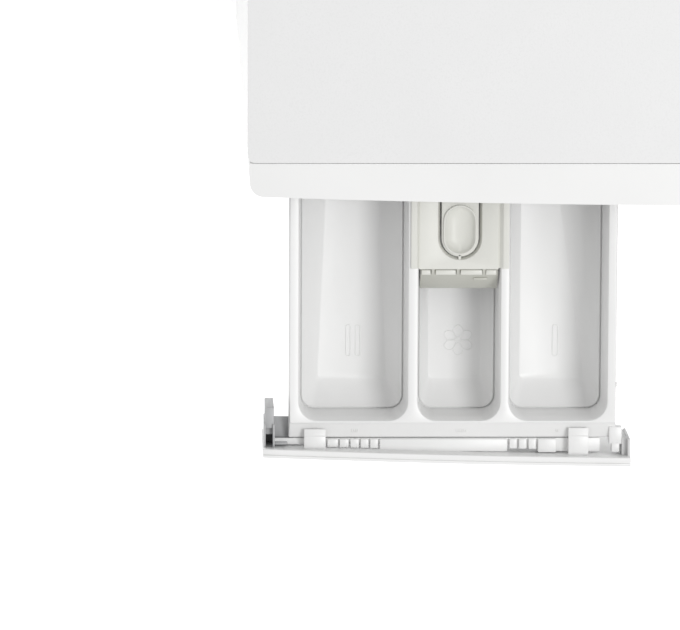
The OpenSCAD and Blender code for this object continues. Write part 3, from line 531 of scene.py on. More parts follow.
def smooth_path(points, steps=6):
    """Points along a smooth curve through the given ones."""
    ends = [points[0]] + list(points) + [points[-1]]
    path = []
    for a, b, c, d in zip(ends, ends[1:], ends[2:], ends[3:]):
        for k in range(steps):
            t = k / steps
            path.append(tuple(0.5 * (2 * q + (r - p) * t + (2 * p - 5 * q + 4 * r - s) * t ** 2
                                     + (3 * q - p - 3 * r + s) * t ** 3) for p, q, r, s in zip(a, b, c, d)))
    return path + [tuple(points[-1])]


def band(path, thickness):
    """The closed section of a wall of this thickness along an open path."""
    sides = ([], [])
    for i, (r, a) in enumerate(path):
        (r0, a0), (r1, a1) = path[max(i - 1, 0)], path[min(i + 1, len(path) - 1)]
        half = thickness / 2 / math.hypot(r1 - r0, a1 - a0)
        for side, way in zip(sides, (half, -half)):
            side.append((r - way * (a1 - a0), a + way * (r1 - r0)))
    return sides[0] + sides[1][::-1]


def swept_tube(bm, path, radius, sides=10):
    """Carries a round section along a path, square to it, and closes both ends."""
    path = [Vector(p) for p in path]
    last = len(path) - 1
    headings = [(path[min(i + 1, last)] - path[max(i - 1, 0)]).normalized() for i in range(last + 1)]
    ring = bmesh.ops.create_circle(bm, cap_ends=False, segments=sides, radius=radius)["verts"]
    first_turn = Vector((0, 0, 1)).rotation_difference(headings[0]).to_matrix()
    bmesh.ops.rotate(bm, verts=ring, cent=(0, 0, 0), matrix=first_turn)
    bmesh.ops.translate(bm, verts=ring, vec=path[0])
    edges = list({e for v in ring for e in v.link_edges})
    ends = list(edges)
    for i in range(1, len(path)):
        out = bmesh.ops.extrude_edge_only(bm, edges=edges)["geom"]
        ring = only(out, bmesh.types.BMVert)
        new = set(ring)
        edges = [e for e in only(out, bmesh.types.BMEdge) if e.verts[0] in new and e.verts[1] in new]
        bmesh.ops.rotate(bm, verts=ring, cent=path[i - 1],
                         matrix=headings[i - 1].rotation_difference(headings[i]).to_matrix())
        bmesh.ops.translate(bm, verts=ring, vec=path[i] - path[i - 1])
    bmesh.ops.holes_fill(bm, edges=ends + edges, sides=0)


def turned_piece(bm, profile, centre, axis="Y", steps=96, closed=True):
    """Spins a profile of [radius, place along the axis] points fully around the axis.

    The profile is a closed ring section, or an open line whose ends lie on the axis."""
    cx, cy, cz = centre
    if axis == "Y":
        points = [(cx + r, a, cz) for r, a in profile]
        spin_axis = (0, 1, 0)
    else:
        points = [(cx + r, cy, a) for r, a in profile]
        spin_axis = (0, 0, 1)
    verts = [bm.verts.new(p) for p in points]
    edges = [bm.edges.new((a, b)) for a, b in zip(verts, verts[1:] + (verts[:1] if closed else []))]
    bmesh.ops.spin(bm, geom=verts + edges, cent=centre, axis=spin_axis, angle=2 * math.pi, steps=steps,
                   use_merge=True, use_duplicate=False)
    bmesh.ops.remove_doubles(bm, verts=bm.verts, dist=1e-6)


class Outline:
    """A four-sided outline with rounded corners; its rear may be narrower than its front."""

    def __init__(self, x0, x1, y0, y1, rear_x0=None, rear_x1=None):
        self.front = (x0, x1)
        self.rear = (x0 if rear_x0 is None else rear_x0, x1 if rear_x1 is None else rear_x1)
        self.y = (y0, y1)

    def inset(self, d):
        return Outline(self.front[0] + d, self.front[1] - d, self.y[0] + d, self.y[1] - d,
                       self.rear[0] + d, self.rear[1] - d)

    def towards(self, other, share):
        mix = lambda a, b: a + (b - a) * share
        return Outline(mix(self.front[0], other.front[0]), mix(self.front[1], other.front[1]),
                       mix(self.y[0], other.y[0]), mix(self.y[1], other.y[1]),
                       mix(self.rear[0], other.rear[0]), mix(self.rear[1], other.rear[1]))


CORNER_POINTS = 8


def set_ring(ring, turn, outline, r, z, z_front):
    for v in ring:
        across, along, quarter = v[turn]
        front, right = quarter > 1.5, quarter in (0.0, 3.0)
        x = (outline.front if front else outline.rear)[1 if right else 0] + (-r if right else r)
        y = outline.y[0] + r if front else outline.y[1] - r
        v.co = (x + r * across, y + r * along, z_front if front else z)


def loft(bm, stations):
    """Skins a list of (outline, corner radius, height[, height at the front]).

    Gives the edges of its first and its last ring."""
    turn = bm.verts.layers.float_vector.get("turn") or bm.verts.layers.float_vector.new("turn")
    ring = bmesh.ops.create_circle(bm, segments=4 * CORNER_POINTS, radius=1.0)["verts"]
    ring.sort(key=lambda v: math.atan2(v.co.y, v.co.x) % (2 * math.pi))
    start = min(range(len(ring)), key=lambda i: abs(math.atan2(ring[i].co.y, ring[i].co.x)))
    ring = ring[start:] + ring[:start]
    for i, v in enumerate(ring):
        quarter, step = divmod(i, CORNER_POINTS)
        angle = (quarter + step / (CORNER_POINTS - 1)) * math.pi / 2
        v[turn] = (math.cos(angle), math.sin(angle), quarter)
    edges = list({e for v in ring for e in v.link_edges})
    first = edges
    for i, (outline, r, z, *more) in enumerate(stations):
        if i:
            out = bmesh.ops.extrude_edge_only(bm, edges=edges)["geom"]
            ring = only(out, bmesh.types.BMVert)
            new = set(ring)
            edges = [e for e in only(out, bmesh.types.BMEdge) if e.verts[0] in new and e.verts[1] in new]
        set_ring(ring, turn, outline, r, z, more[0] if more else z)
    return first, edges


def fill(bm, *loops):
    """Fills between an outer loop and the holes in it, and closes any gap that the fill leaves."""
    edges = [e for loop in loops for e in loop]
    made = bmesh.ops.triangle_fill(bm, use_beauty=True, use_dissolve=False, edges=edges)["geom"]
    around = set(edges + only(made, bmesh.types.BMEdge))
    left_open = [e for e in around if e.is_valid and len(e.link_faces) == 1]
    if left_open:
        bmesh.ops.holes_fill(bm, edges=left_open, sides=0)


def ridge_ring(bm, centre, r, stretch=0.0, wide=1.0, turn_by=0.0, wire=0.00034, push=0.0):
    """A thin raised line round a circle, an oval or a capsule."""
    steps, sides = 28, 6
    before = set(bm.verts)
    section = bmesh.ops.create_circle(bm, segments=sides, radius=wire)["verts"]
    bmesh.ops.rotate(bm, verts=section, cent=(0, 0, 0), matrix=Matrix.Rotation(math.pi / 2, 3, "X"))
    bmesh.ops.translate(bm, verts=section, vec=(r, 0, 0))
    # half a step round, so that a capsule is parted between two sections
    bmesh.ops.rotate(bm, verts=section, cent=(0, 0, 0), matrix=Matrix.Rotation(math.pi / steps, 3, "Z"))
    edges = list({e for v in section for e in v.link_edges})
    bmesh.ops.spin(bm, geom=section + edges, cent=(0, 0, 0), axis=(0, 0, 1), angle=2 * math.pi, steps=steps,
                   use_merge=True, use_duplicate=False)
    made = [v for v in bm.verts if v not in before]
    for v in made:
        v.co.x *= wide
        v.co.y += math.copysign(stretch, v.co.y)
    bmesh.ops.translate(bm, verts=made, vec=(0, push, 0))
    bmesh.ops.rotate(bm, verts=made, cent=(0, 0, 0), matrix=Matrix.Rotation(turn_by, 3, "Z"))
    bmesh.ops.translate(bm, verts=made, vec=centre)
    bmesh.ops.remove_doubles(bm, verts=made, dist=1e-7)


# ---------------------------------------------------------------- detergent tray

# each compartment: its left and right edge at the rim, from the tray's left side, and how far its floor
# stands in from that edge: left at the front and rear, then right at the front and rear
COMPARTMENTS = {
    "main wash": (5.9, 67.0, 11.6, 20.0, 11.3, 19.0),
    "softener": (72.9, 119.1, 7.5, 7.5, 9.4, 9.4),
    "prewash": (124.3, 179.5, 8.4, 9.0, 11.1, 37.0),
}
TRAY_DEPTH = 46 * MM
LEDGE = 34 * MM
RIM_FRONT = 10.4 * MM


def compartment_outline(name):
    left, right = COMPARTMENTS[name][:2]
    return Outline(tray_low.x + left * MM, tray_low.x + right * MM,
                   tray_low.y + RIM_FRONT, tray_high.y - 4 * MM)


def floor_outline(name):
    left, right, left_f, left_r, right_f, right_r = [n * MM for n in COMPARTMENTS[name]]
    x = tray_low.x
    return Outline(x + left + left_f, x + right - right_f,
                   tray_low.y + RIM_FRONT + 17 * MM, tray_high.y - 12 * MM,
                   x + left + left_r, x + right - right_r)


def compartment(bm, name):
    """A rounded rim, drafted walls, a thin groove at the ledge and a slope that runs out into the floor."""
    edge, floor = compartment_outline(name), floor_outline(name)
    low = rim_z - LEDGE
    # how far in from the edge, corner radius and height, from the rim over the ledge's groove
    wall = ((-1.0, 11.3, rim_z), (-0.4, 10.8, rim_z - 0.25 * MM), (0.0, 10.4, rim_z - 1.1 * MM),
            (0.7, 9.2, rim_z - LEDGE * 0.5), (1.3, 7.9, low), (1.35, 7.8, low - 1.3 * MM),
            (1.9, 7.4, low - 1.3 * MM), (1.95, 7.3, low - 0.3 * MM), (2.3, 7.1, low - 0.1 * MM))
    stations = [(edge.inset(d * MM), r * MM, z) for d, r, z in wall]
    start = edge.inset(2.3 * MM)
    for share in (0.2, 0.45, 0.7, 0.86, 0.94, 0.98, 1.0):
        drop = 1 - (1 - share) ** 1.3
        stations.append((start.towards(floor, share), (7.1 - 4.3 * share) * MM,
                         low - 0.1 * MM - (TRAY_DEPTH - LEDGE - 0.1 * MM) * drop))
    return loft(bm, stations)


def detergent_tray():
    bm = bmesh.new()
    x0, x1, y0, y1 = tray_low.x, tray_high.x, tray_low.y, tray_high.y
    body = Outline(x0, x1, y0, y1)
    top = Outline(x0 + 0.9 * MM, x1 - 0.9 * MM, y0 + RIM_FRONT - 1.3 * MM, y1 - 0.9 * MM)
    step = Outline(x0 + 0.5 * MM, x1 - 0.5 * MM, y0 + RIM_FRONT - 1.8 * MM, y1 - 0.5 * MM)
    lip = Outline(x0 + 0.25 * MM, x1 - 0.25 * MM, y0 + 0.6 * MM, y1 - 0.25 * MM)
    under = Outline(x0 + 3.6 * MM, x1 - 3.6 * MM, y0 + 3 * MM, y1)
    outer_top, outer_bottom = loft(bm, [
        (top, 0.5 * MM, rim_z), (step, 0.6 * MM, rim_z - 0.15 * MM, rim_z - 1.5 * MM),
        (lip, 0.9 * MM, rim_z - 0.3 * MM, rim_z - 4.6 * MM),
        (body, 1.2 * MM, rim_z - 1.1 * MM, rim_z - 5.4 * MM),
        (body, 1.2 * MM, rim_z - 2.8 * MM, rim_z - 7 * MM),
        (under, 2 * MM, rim_z - 2.8 * MM, rim_z - 7 * MM), (under, 4 * MM, tray_low.z + 3 * MM),
        (under.inset(3 * MM), 4 * MM, tray_low.z)])
    holes, floors = [], []
    for name in COMPARTMENTS:
        rim, floor = compartment(bm, name)
        holes.append(rim)
        floors.append(floor)
    fill(bm, outer_top, *holes)
    fill(bm, outer_bottom)
    for floor in floors:
        fill(bm, floor)
    finished(bm, "detergent_tray", "white_plastic", "drawer", crease=28)


def compartment_marks():
    """Raised lines on the floors: two bars, a flower and one bar; small copies stand on the front band."""
    bm = bmesh.new()
    floor_z = rim_z - TRAY_DEPTH + 0.12 * MM
    middle_y = tray_low.y + RIM_FRONT + 38.7 * MM
    x = lambda name, offset: compartment_outline(name).front[0] + offset * MM
    for offset in (28.8, 34.3):
        ridge_ring(bm, (x("main wash", offset), middle_y, floor_z), 1.3 * MM, stretch=7.7 * MM)
    ridge_ring(bm, (x("prewash", 28.6), middle_y, floor_z), 1.5 * MM, stretch=7.5 * MM)
    flower = (x("softener", 24.4), middle_y, floor_z)
    for k in range(6):
        ridge_ring(bm, flower, 3.4 * MM, wide=0.8, turn_by=k * math.pi / 3, push=5.2 * MM)
    ridge_ring(bm, flower, 1.5 * MM)
    band_y, band_z = tray_low.y + 5.2 * MM, rim_z - 2.8 * MM
    for name, offset, bars in (("main wash", 30.5, 2), ("softener", 22.5, 3), ("prewash", 27.5, 1)):
        for k in range(bars):
            ridge_ring(bm, (x(name, offset + 2.2 * k), band_y, band_z), 0.6 * MM,
                       stretch=1.3 * MM, wire=0.00018)
    finished(bm, "compartment_marks", "white_plastic", "drawer")


# ---------------------------------------------------------------- siphon cap and its tongue

cap_front = cap_low.y + 9.6 * MM
cap_x = (cap_low.x + cap_high.x) / 2
plate_z = rim_z - 0.7 * MM


def tongue_outline(grow):
    """The tongue's own outline, or the opening round it when grown."""
    return Outline(tongue_low.x - grow, tongue_high.x + grow, tongue_low.y - grow, tongue_high.y + grow * 0.2)


def siphon_cap():
    bm = bmesh.new()
    r = (tongue_high.x - tongue_low.x) / 2
    plate = Outline(cap_low.x + 4.3 * MM, cap_high.x - 5.7 * MM, cap_front, cap_high.y)
    outside, under = loft(bm, [
        (plate.inset(0.3 * MM), 0.4 * MM, plate_z), (plate, 0.6 * MM, plate_z - 0.3 * MM),
        (plate, 0.6 * MM, plate_z - 3.4 * MM)])
    # how far the opening stands off the tongue, and how far down
    opening = ((2.3, 0.0), (2.0, 0.15), (0.8, 2.8), (0.7, 3.4))
    mouth, mouth_foot = loft(bm, [(tongue_outline(gap * MM), r + gap * MM, plate_z - down * MM)
                                  for gap, down in opening])
    fill(bm, outside, mouth)
    fill(bm, under, mouth_foot)
    finished(bm, "siphon_cap_plate", "warm_grey_plastic", "drawer", crease=35)

    bm = bmesh.new()
    top = cap_high.z
    for side, x, wall in ((1, cap_low.x, 1.2 * MM), (-1, cap_high.x, 1.9 * MM)):
        section = [(x, top - 1.5 * MM), (x, top), (x + side * 3.2 * MM, top),
                   (x + side * (3.2 * MM + wall), plate_z - 0.5 * MM),
                   (x + side * (3.9 * MM + wall), plate_z - 0.5 * MM),
                   (x + side * (3.9 * MM + wall), plate_z - 2.2 * MM),
                   (x + side * 2.4 * MM, plate_z - 2.2 * MM), (x + side * 1.8 * MM, top - 1.5 * MM)]
        start = cap_front + 0.6 * MM
        prism(bm, [(px, start, pz) for px, pz in section], (0, start, 0), (0, cap_high.y, 0), 0.2 * MM)
    for reach in (14.0, 62.0):
        block(bm, (cap_x - 19 * MM, cap_high.y - reach * MM, plate_z - 5 * MM),
              (cap_x + 19 * MM, cap_high.y - (reach - 1.4) * MM, plate_z - 1.5 * MM), 0.3 * MM)
    for x in (cap_low.x + 6.2 * MM, cap_high.x - 7.6 * MM):
        block(bm, (x, cap_front + 1 * MM, plate_z - 5 * MM),
              (x + 1.4 * MM, cap_high.y - 1 * MM, plate_z - 1.5 * MM), 0.3 * MM)
    finished(bm, "siphon_cap_flanges", "warm_grey_plastic", "drawer")

    bm = bmesh.new()
    # light lip behind the windows, in four lengths between the ribs
    for a, b in ((-21.4, -16.4), (-13.4, -2.2), (0.6, 12.7), (14.9, 20.6)):
        block(bm, (cap_x + a * MM, cap_front - 3.5 * MM, rim_z - 4.6 * MM),
              (cap_x + b * MM, cap_front - 0.8 * MM, rim_z - 3.6 * MM), 0.25 * MM)
    finished(bm, "siphon_cap_windows", "warm_grey_plastic", "drawer")

    bm = bmesh.new()
    x0, x1 = compartment_outline("softener").inset(1.3 * MM).front
    section = [(cap_front + 1.0 * MM, plate_z - 2.6 * MM), (cap_front + 0.2 * MM, plate_z - 2.6 * MM),
               (cap_front - 0.4 * MM, rim_z - 5.0 * MM), (cap_front - 3.6 * MM, rim_z - 5.0 * MM),
               (cap_front - 13.0 * MM, rim_z - 17 * MM), (cap_front - 11.4 * MM, rim_z - 17 * MM),
               (cap_front - 2.4 * MM, rim_z - 6.4 * MM), (cap_front + 1.0 * MM, rim_z - 6.4 * MM)]
    prism(bm, [(x0, y, z) for y, z in section], (x0, 0, 0), (x1, 0, 0), 0.25 * MM)
    # ribs between the windows: place forward of the cap's front and height under the rim
    rib = ((0.4, 5.2), (0.4, 2.0), (-3.3, 4.2), (-3.3, 5.2))
    for x in (-14.9, -0.8, 13.8):
        prism(bm, [(cap_x + (x - 0.9) * MM, cap_front + y * MM, rim_z - down * MM) for y, down in rib],
              (0, 0, 0), (1.6 * MM, 0, 0), 0.15 * MM)
    block(bm, (cap_x + 8.0 * MM, cap_front - 6.9 * MM, rim_z - 8.2 * MM),
          (cap_x + 15.6 * MM, cap_front - 5.6 * MM, rim_z - 6.7 * MM), 0.3 * MM)
    rod = bmesh.ops.create_cone(bm, cap_ends=True, segments=40, radius1=8.4 * MM, radius2=9 * MM,
                                depth=28 * MM)["verts"]
    bmesh.ops.translate(bm, verts=rod, vec=(cap_x, cap_high.y - 16.5 * MM, rim_z - 16.5 * MM))
    # darker copy of the warm grey plastic: painted shade on the skirt and its ribs
    finished(bm, "siphon_cap_skirt", "warm_grey_plastic", "drawer", material=SKIRT_SHADE)


def release_tongue():
    bm = bmesh.new()
    r = (tongue_high.x - tongue_low.x) / 2
    outline = tongue_outline(0)
    outer, foot = loft(bm, [
        (outline.inset(0.35 * MM), r - 0.35 * MM, plate_z), (outline, r, plate_z - 0.35 * MM),
        (outline, r, plate_z - 4.4 * MM)])
    x0, x1, y0 = outline.front[0], outline.front[1], outline.y[0]
    pad_long = 30.4
    # inset from the tongue's edge and height, from the foot of the raised ring over it and into the dish
    dished = ((0.95, 0.0), (1.0, 1.0), (1.2, 1.35), (1.8, 1.35), (2.15, 0.9), (2.6, -0.4), (3.5, -1.6),
              (4.9, -2.6), (6.7, -3.2), (8.6, -3.4))
    rim, dish = loft(bm, [(Outline(x0 + d * MM, x1 - d * MM, y0 + d * MM, y0 + (pad_long - d) * MM),
                           r - d * MM, plate_z + h * MM) for d, h in dished])
    fill(bm, outer, rim)
    fill(bm, foot)
    fill(bm, dish)
    block(bm, (cap_x - 0.9 * MM, y0 - 1.7 * MM, plate_z - 1.6 * MM),
          (cap_x + 0.5 * MM, y0 + 1.2 * MM, plate_z), 0.2 * MM)
    finished(bm, "release_tongue_pad", "warm_grey_plastic", "release_tongue", crease=40)


# ---------------------------------------------------------------- drawer front

fascia_half = (fascia_high.x - fascia_low.x) / 2
bow_depth = 5 * MM
bow_radius = (fascia_half ** 2 + bow_depth ** 2) / (2 * bow_depth)


def bow(x):
    return bow_radius - math.sqrt(bow_radius ** 2 - x * x)


def drawer_face(x):
    """Y of the drawer front's outer face, which follows the fascia's bow, just inside its own box."""
    return front_low.y + 1.1 * MM + 1.2 * (bow(x) - bow(front_high.x))


def drawer_front():
    bm = bmesh.new()
    z0, z1 = front_low.z, front_high.z
    # how far behind the outer face, and height
    section = [(0.5, z0), (0.0, z0 + 0.9 * MM), (0.0, z1 - 1.7 * MM), (0.35, z1 - 0.6 * MM),
               (0.9, z1 - 0.15 * MM), (1.5, z1), (1.85, z1 - 0.15 * MM), (1.95, z1 - 1.0 * MM),
               (2.35, z1 - 1.0 * MM), (2.45, z1 - 0.15 * MM), (2.8, z1), (4.9, z1),
               (5.25, z1 - 0.35 * MM), (5.3, z1 - 5 * MM), (4.5, z1 - 7 * MM), (4.5, z0 + 0.4 * MM), (4.1, z0)]
    verts = [bm.verts.new((front_low.x, t * MM, z)) for t, z in section]
    faces = [bm.faces.new(verts)]
    steps = 24
    for step in range(steps):
        out = bmesh.ops.extrude_face_region(bm, geom=faces)["geom"]
        bmesh.ops.translate(bm, verts=only(out, bmesh.types.BMVert),
                            vec=((front_high.x - front_low.x) / steps, 0, 0))
        # the first face closes the left end; a later one would be a wall inside the bar
        if step:
            bmesh.ops.delete(bm, geom=[f for f in faces if f.is_valid], context="FACES_ONLY")
        faces = only(out, bmesh.types.BMFace)
    for v in bm.verts:
        v.co.y += drawer_face(v.co.x)
    near = 1e-6
    at_an_end = {v for v in bm.verts if min(v.co.x - front_low.x, front_high.x - v.co.x) < near}
    ends = [e for e in bm.edges if at_an_end.issuperset(e.verts)
            and abs(e.verts[0].co.x - e.verts[1].co.x) < near]
    bmesh.ops.bevel(bm, geom=ends, offset=0.35 * MM, affect="EDGES", segments=2, profile=0.5, material=-1)
    finished(bm, "drawer_front_panel", "white_plastic", "drawer", crease=40)


def drawer_front_inside():
    """Behind the front: a shelf with short blocks, a slot, two clips over the tray and the end guides."""
    left = fascia_low.x
    back = lambda x: drawer_face(x) + 5.0 * MM
    gap_y = tray_low.y - 0.4 * MM
    bm = bmesh.new()
    shelf = rim_z - 5.2 * MM
    # lengths of the shelf from the fascia's left end, and how deep the slot behind the front is there
    runs = ((13.6, 148.6, 0.0), (148.6, 162.8, 1.6), (162.8, 198.5, 0.0))
    for a, b, hole in runs:
        x0, x1 = left + a * MM, left + b * MM
        block(bm, (x0, back(x0) + hole * MM, shelf - 1.2 * MM), (x1, gap_y, shelf), 0.2 * MM)
        block(bm, (x0, back(x0) + hole * MM, shelf - 12 * MM),
              (x1, tray_low.y + 3.4 * MM, shelf - 10 * MM), 0.2 * MM)
    slot = (147.0, 162.5)
    for a, b in ((44.4, 50.4), (51.4, 56.4), (57.4, 62.2), (63.2, 67.6), (68.6, 73.0), (74.0, 146.0),
                 (147.2, 151.4), (152.6, 156.8), (158.0, 162.2), (163.4, 173.5)):
        x0, x1 = left + a * MM, left + b * MM
        hole = 1.8 * MM if slot[0] < a < slot[1] else 0.0
        block(bm, (x0, back(x1) + hole, shelf - 0.3 * MM),
              (x1, gap_y - 0.3 * MM, shelf + 2.6 * MM), 0.35 * MM)
    finished(bm, "drawer_front_shelf", "white_plastic", "drawer")

    bm = bmesh.new()
    for a, b, over in ((31.2, 43.3, 5.6), (180.3, 191.6, 6.2)):
        x0, x1 = left + a * MM, left + b * MM
        section = [(back(x1) - 0.6 * MM, shelf - 6 * MM), (back(x1) - 0.6 * MM, rim_z + 1.9 * MM),
                   (tray_low.y + 1.6 * MM, rim_z + 1.7 * MM), (tray_low.y + 1.9 * MM, rim_z + 1.2 * MM),
                   (tray_low.y + over * MM, rim_z + 0.9 * MM), (tray_low.y + over * MM, rim_z - 0.1 * MM),
                   (tray_low.y - 0.5 * MM, rim_z - 1.0 * MM), (tray_low.y - 0.5 * MM, shelf - 6 * MM)]
        prism(bm, [(x0, y, z) for y, z in section], (x0, 0, 0), (x1, 0, 0), 0.3 * MM)
    finished(bm, "drawer_front_clips", "white_plastic", "drawer")

    bm = bmesh.new()
    x0 = left + 8.6 * MM
    low = rim_z - 34 * MM
    y_face = drawer_face(x0) - 1.9 * MM
    # left guide, a plain rear half and a hollow front half: left, right, front, rear, top above the rim
    # and rounding of each bar
    for a, b, front, rear, top, round_by in (
            (0.6, 5.6, 17.0, 28.6, 1.5, 0.4), (0.0, 0.9, 4.4, 19.5, 3.5, 0.3),
            (4.9, 6.0, 4.4, 19.5, 3.0, 0.3), (0.5, 5.4, 13.0, 18.0, -1.5, 0.4)):
        block(bm, (x0 + a * MM, y_face + front * MM, low),
              (x0 + b * MM, y_face + rear * MM, rim_z + top * MM), round_by * MM)
    # a sunk web and a thin wall towards the tray
    block(bm, (x0 + 5.6 * MM, y_face + 7.6 * MM, rim_z - 13 * MM),
          (tray_low.x + 3 * MM, y_face + 21.6 * MM, rim_z - 11 * MM), 0.3 * MM)
    block(bm, (x0 + 5.6 * MM, y_face + 7 * MM, low),
          (tray_low.x - 0.6 * MM, y_face + 8.4 * MM, rim_z - 1.5 * MM), 0.3 * MM)
    # darker grey: painted shade on the left guide and its sunk web
    finished(bm, "drawer_guide_left", "grey_plastic", "drawer", material=GUIDE)
    # dark grey block in the hollow front half of the left guide: painted shade of the deep slot
    bm = bmesh.new()
    block(bm, (x0 + 0.7 * MM, y_face + 4.2 * MM, low),
          (x0 + 5.1 * MM, y_face + 13.4 * MM, rim_z - 16 * MM), 0.3 * MM)
    finished(bm, "drawer_guide_pocket_shade", "dark_plastic", "drawer", material=POCKET_SHADE)

    bm = bmesh.new()
    x1 = left + 215.2 * MM
    y_face = drawer_face(x1)
    block(bm, (x1 - 1.5 * MM, y_face + 3.5 * MM, low), (x1, y_face + 14.2 * MM, rim_z + 4 * MM), 0.4 * MM)
    block(bm, (x1 - 4.6 * MM, y_face + 3.5 * MM, low),
          (x1 - 1.4 * MM, y_face + 13.6 * MM, rim_z - 1 * MM), 0.4 * MM)
    # pale grey: painted shade on the right guide
    finished(bm, "drawer_guide_right", "grey_plastic", "drawer", material=GUIDE_PALE)

    bm = bmesh.new()
    edge = tray_high.x
    block(bm, (edge - 4 * MM, tray_low.y - 3.5 * MM, rim_z - 9 * MM),
          (x1 - 4.6 * MM, tray_low.y + 6.5 * MM, rim_z - 1.2 * MM), 0.6 * MM)
    block(bm, (edge - 2.6 * MM, drawer_face(edge) + 6 * MM, rim_z - 9 * MM),
          (edge + 1.8 * MM, tray_low.y - 2.6 * MM, rim_z - 0.4 * MM), 0.5 * MM)
    # a small stop on the tray's side
    stop_y = tray_low.y + 30.6 * MM
    block(bm, (edge - 0.6 * MM, stop_y - 1.2 * MM, rim_z - 3 * MM),
          (edge + 0.7 * MM, stop_y + 1.2 * MM, rim_z - 0.6 * MM), 0.4 * MM)
    finished(bm, "tray_corner_block", "white_plastic", "drawer")


# ---------------------------------------------------------------- controls on the fascia

knob_low, knob_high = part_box("program_knob")
window_low, window_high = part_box("display_window")
knob_x, knob_z = (knob_low.x + knob_high.x) / 2, (knob_low.z + knob_high.z) / 2
# how far a printed sign stands out of its face, and how deep it is sunk
PRINT_OUT, PRINT_IN = 0.06 * MM, 0.2 * MM


def fascia_face(x):
    """Y of the fascia's outer face."""
    return fascia_low.y + bow(x)


def program_knob():
    """A fluted knob with a dished face, a flange and its shaft."""
    bm = bmesh.new()
    face, back = knob_low.y, knob_high.y
    flange = fascia_low.y - 1 * MM
    profile = [(0, face + 1.3 * MM), (11 * MM, face + 1.1 * MM), (17.5 * MM, face + 0.4 * MM),
               (20 * MM, face),
               (21.6 * MM, face + 0.5 * MM), (22.6 * MM, face + 1.7 * MM), (23 * MM, face + 3.6 * MM),
               (23 * MM, flange - 4.4 * MM), (23.4 * MM, flange - 3.2 * MM), (26.2 * MM, flange - 2.5 * MM),
               (27 * MM, flange - 1.8 * MM), (27 * MM, flange - 0.6 * MM), (26.4 * MM, flange),
               (3 * MM, flange), (3 * MM, back - 0.5 * MM), (2.5 * MM, back), (0, back)]
    flutes = 28
    turned_piece(bm, profile, (knob_x, 0, knob_z), steps=flutes * 6, closed=False)
    for v in bm.verts:
        away = Vector((v.co.x - knob_x, 0, v.co.z - knob_z))
        if away.length > 22.5 * MM and face + 2 * MM < v.co.y < flange - 4 * MM:
            turn = math.atan2(away.z, away.x)
            v.co -= away.normalized() * 0.55 * MM * (0.5 + 0.5 * math.cos(flutes * turn))
    finished(bm, "program_knob_cap", "white_plastic", "program_knob", crease=40)
    bm = bmesh.new()
    block(bm, (knob_x - 0.8 * MM, face - 0.15 * MM, knob_z + 10 * MM),
          (knob_x + 0.8 * MM, face + 1.6 * MM, knob_z + 21 * MM), 0.3 * MM)
    finished(bm, "program_knob_pointer", "dark_plastic", "program_knob")


def number_mesh(bm, number, x, z, height):
    """A flat figure standing on the fascia's face."""
    figure = bpy.data.curves.new("figure", "FONT")
    figure.body = str(number)
    figure.size = height
    figure.extrude = PRINT_OUT
    figure.resolution_u = 3
    figure.align_x = figure.align_y = "CENTER"
    holder = bpy.data.objects.new("figure", figure)
    mesh = bpy.data.meshes.new_from_object(holder)
    upright = Matrix.Rotation(math.pi / 2, 4, "X")
    mesh.transform(Matrix.Translation((x, fascia_face(x) - 0.05 * MM, z)) @ upright)
    bm.from_mesh(mesh)
    bpy.data.objects.remove(holder)
    bpy.data.curves.remove(figure)
    bpy.data.meshes.remove(mesh)


def dial_marks():
    """Printed ticks and numbers round the knob."""
    bm = bmesh.new()
    places = 12
    tick_ring, number_ring = 31.5 * MM, 38 * MM
    for k in range(places):
        angle = 2 * math.pi * k / places
        dx, dz = math.sin(angle), math.cos(angle)
        x, z = knob_x + tick_ring * dx, knob_z + tick_ring * dz
        before = set(bm.verts)
        block(bm, (-0.35 * MM, -0.08 * MM, -1.6 * MM), (0.35 * MM, 0.2 * MM, 1.6 * MM), 0.04 * MM, 1)
        made = [v for v in bm.verts if v not in before]
        bmesh.ops.rotate(bm, verts=made, cent=(0, 0, 0), matrix=Matrix.Rotation(angle, 3, "Y"))
        bmesh.ops.translate(bm, verts=made, vec=(x, fascia_face(x), z))
        number_mesh(bm, k, knob_x + number_ring * dx, knob_z + number_ring * dz, 5 * MM)
    bmesh.ops.remove_doubles(bm, verts=bm.verts, dist=1e-7)
    finished(bm, "dial_marks", "dark_plastic", "cabinet", material=PRINT)


# the bars that are lit in each figure, lettered clockwise from the top, and the middle one last
SEGMENTS = {"1": "bc", "4": "fgbc", "5": "afgcd"}
# the middle of each bar, in shares of the figure's width and height
BARS = {"a": (0.5, 1), "b": (1, 0.75), "c": (1, 0.25), "d": (0.5, 0), "e": (0, 0.25), "f": (0, 0.75),
        "g": (0.5, 0.5)}


def display_digits():
    """Lit seven-segment figures at the window's face: hours, a colon and minutes."""
    bm = bmesh.new()
    wide, tall, bar = 8 * MM, 15 * MM, 1.5 * MM
    face = window_low.y
    middle_z = (window_low.z + window_high.z) / 2
    x = (window_low.x + window_high.x) / 2 - 21 * MM
    step, dot = 4.5 * MM, 0.8 * MM
    for figure in "1:45":
        if figure == ":":
            for z in (middle_z - 3 * MM, middle_z + 3 * MM):
                block(bm, (x - dot, face - PRINT_OUT, z - dot),
                      (x + dot, face + PRINT_IN, z + dot), 0.1 * MM, 1)
            x += step
            continue
        for part in SEGMENTS[figure]:
            across, up = BARS[part]
            mx, mz = x + across * wide, middle_z + (up - 0.5) * tall
            half_x, half_z = (bar / 2, tall / 4 - bar * 0.6)
            if part in "adg":
                half_x, half_z = (wide / 2 - bar * 0.6, bar / 2)
            block(bm, (mx - half_x, face - PRINT_OUT, mz - half_z),
                  (mx + half_x, face + PRINT_IN, mz + half_z), 0.1 * MM, 1)
        x += wide + step
    finished(bm, "display_digits", "display_black", "cabinet", material=LIT)


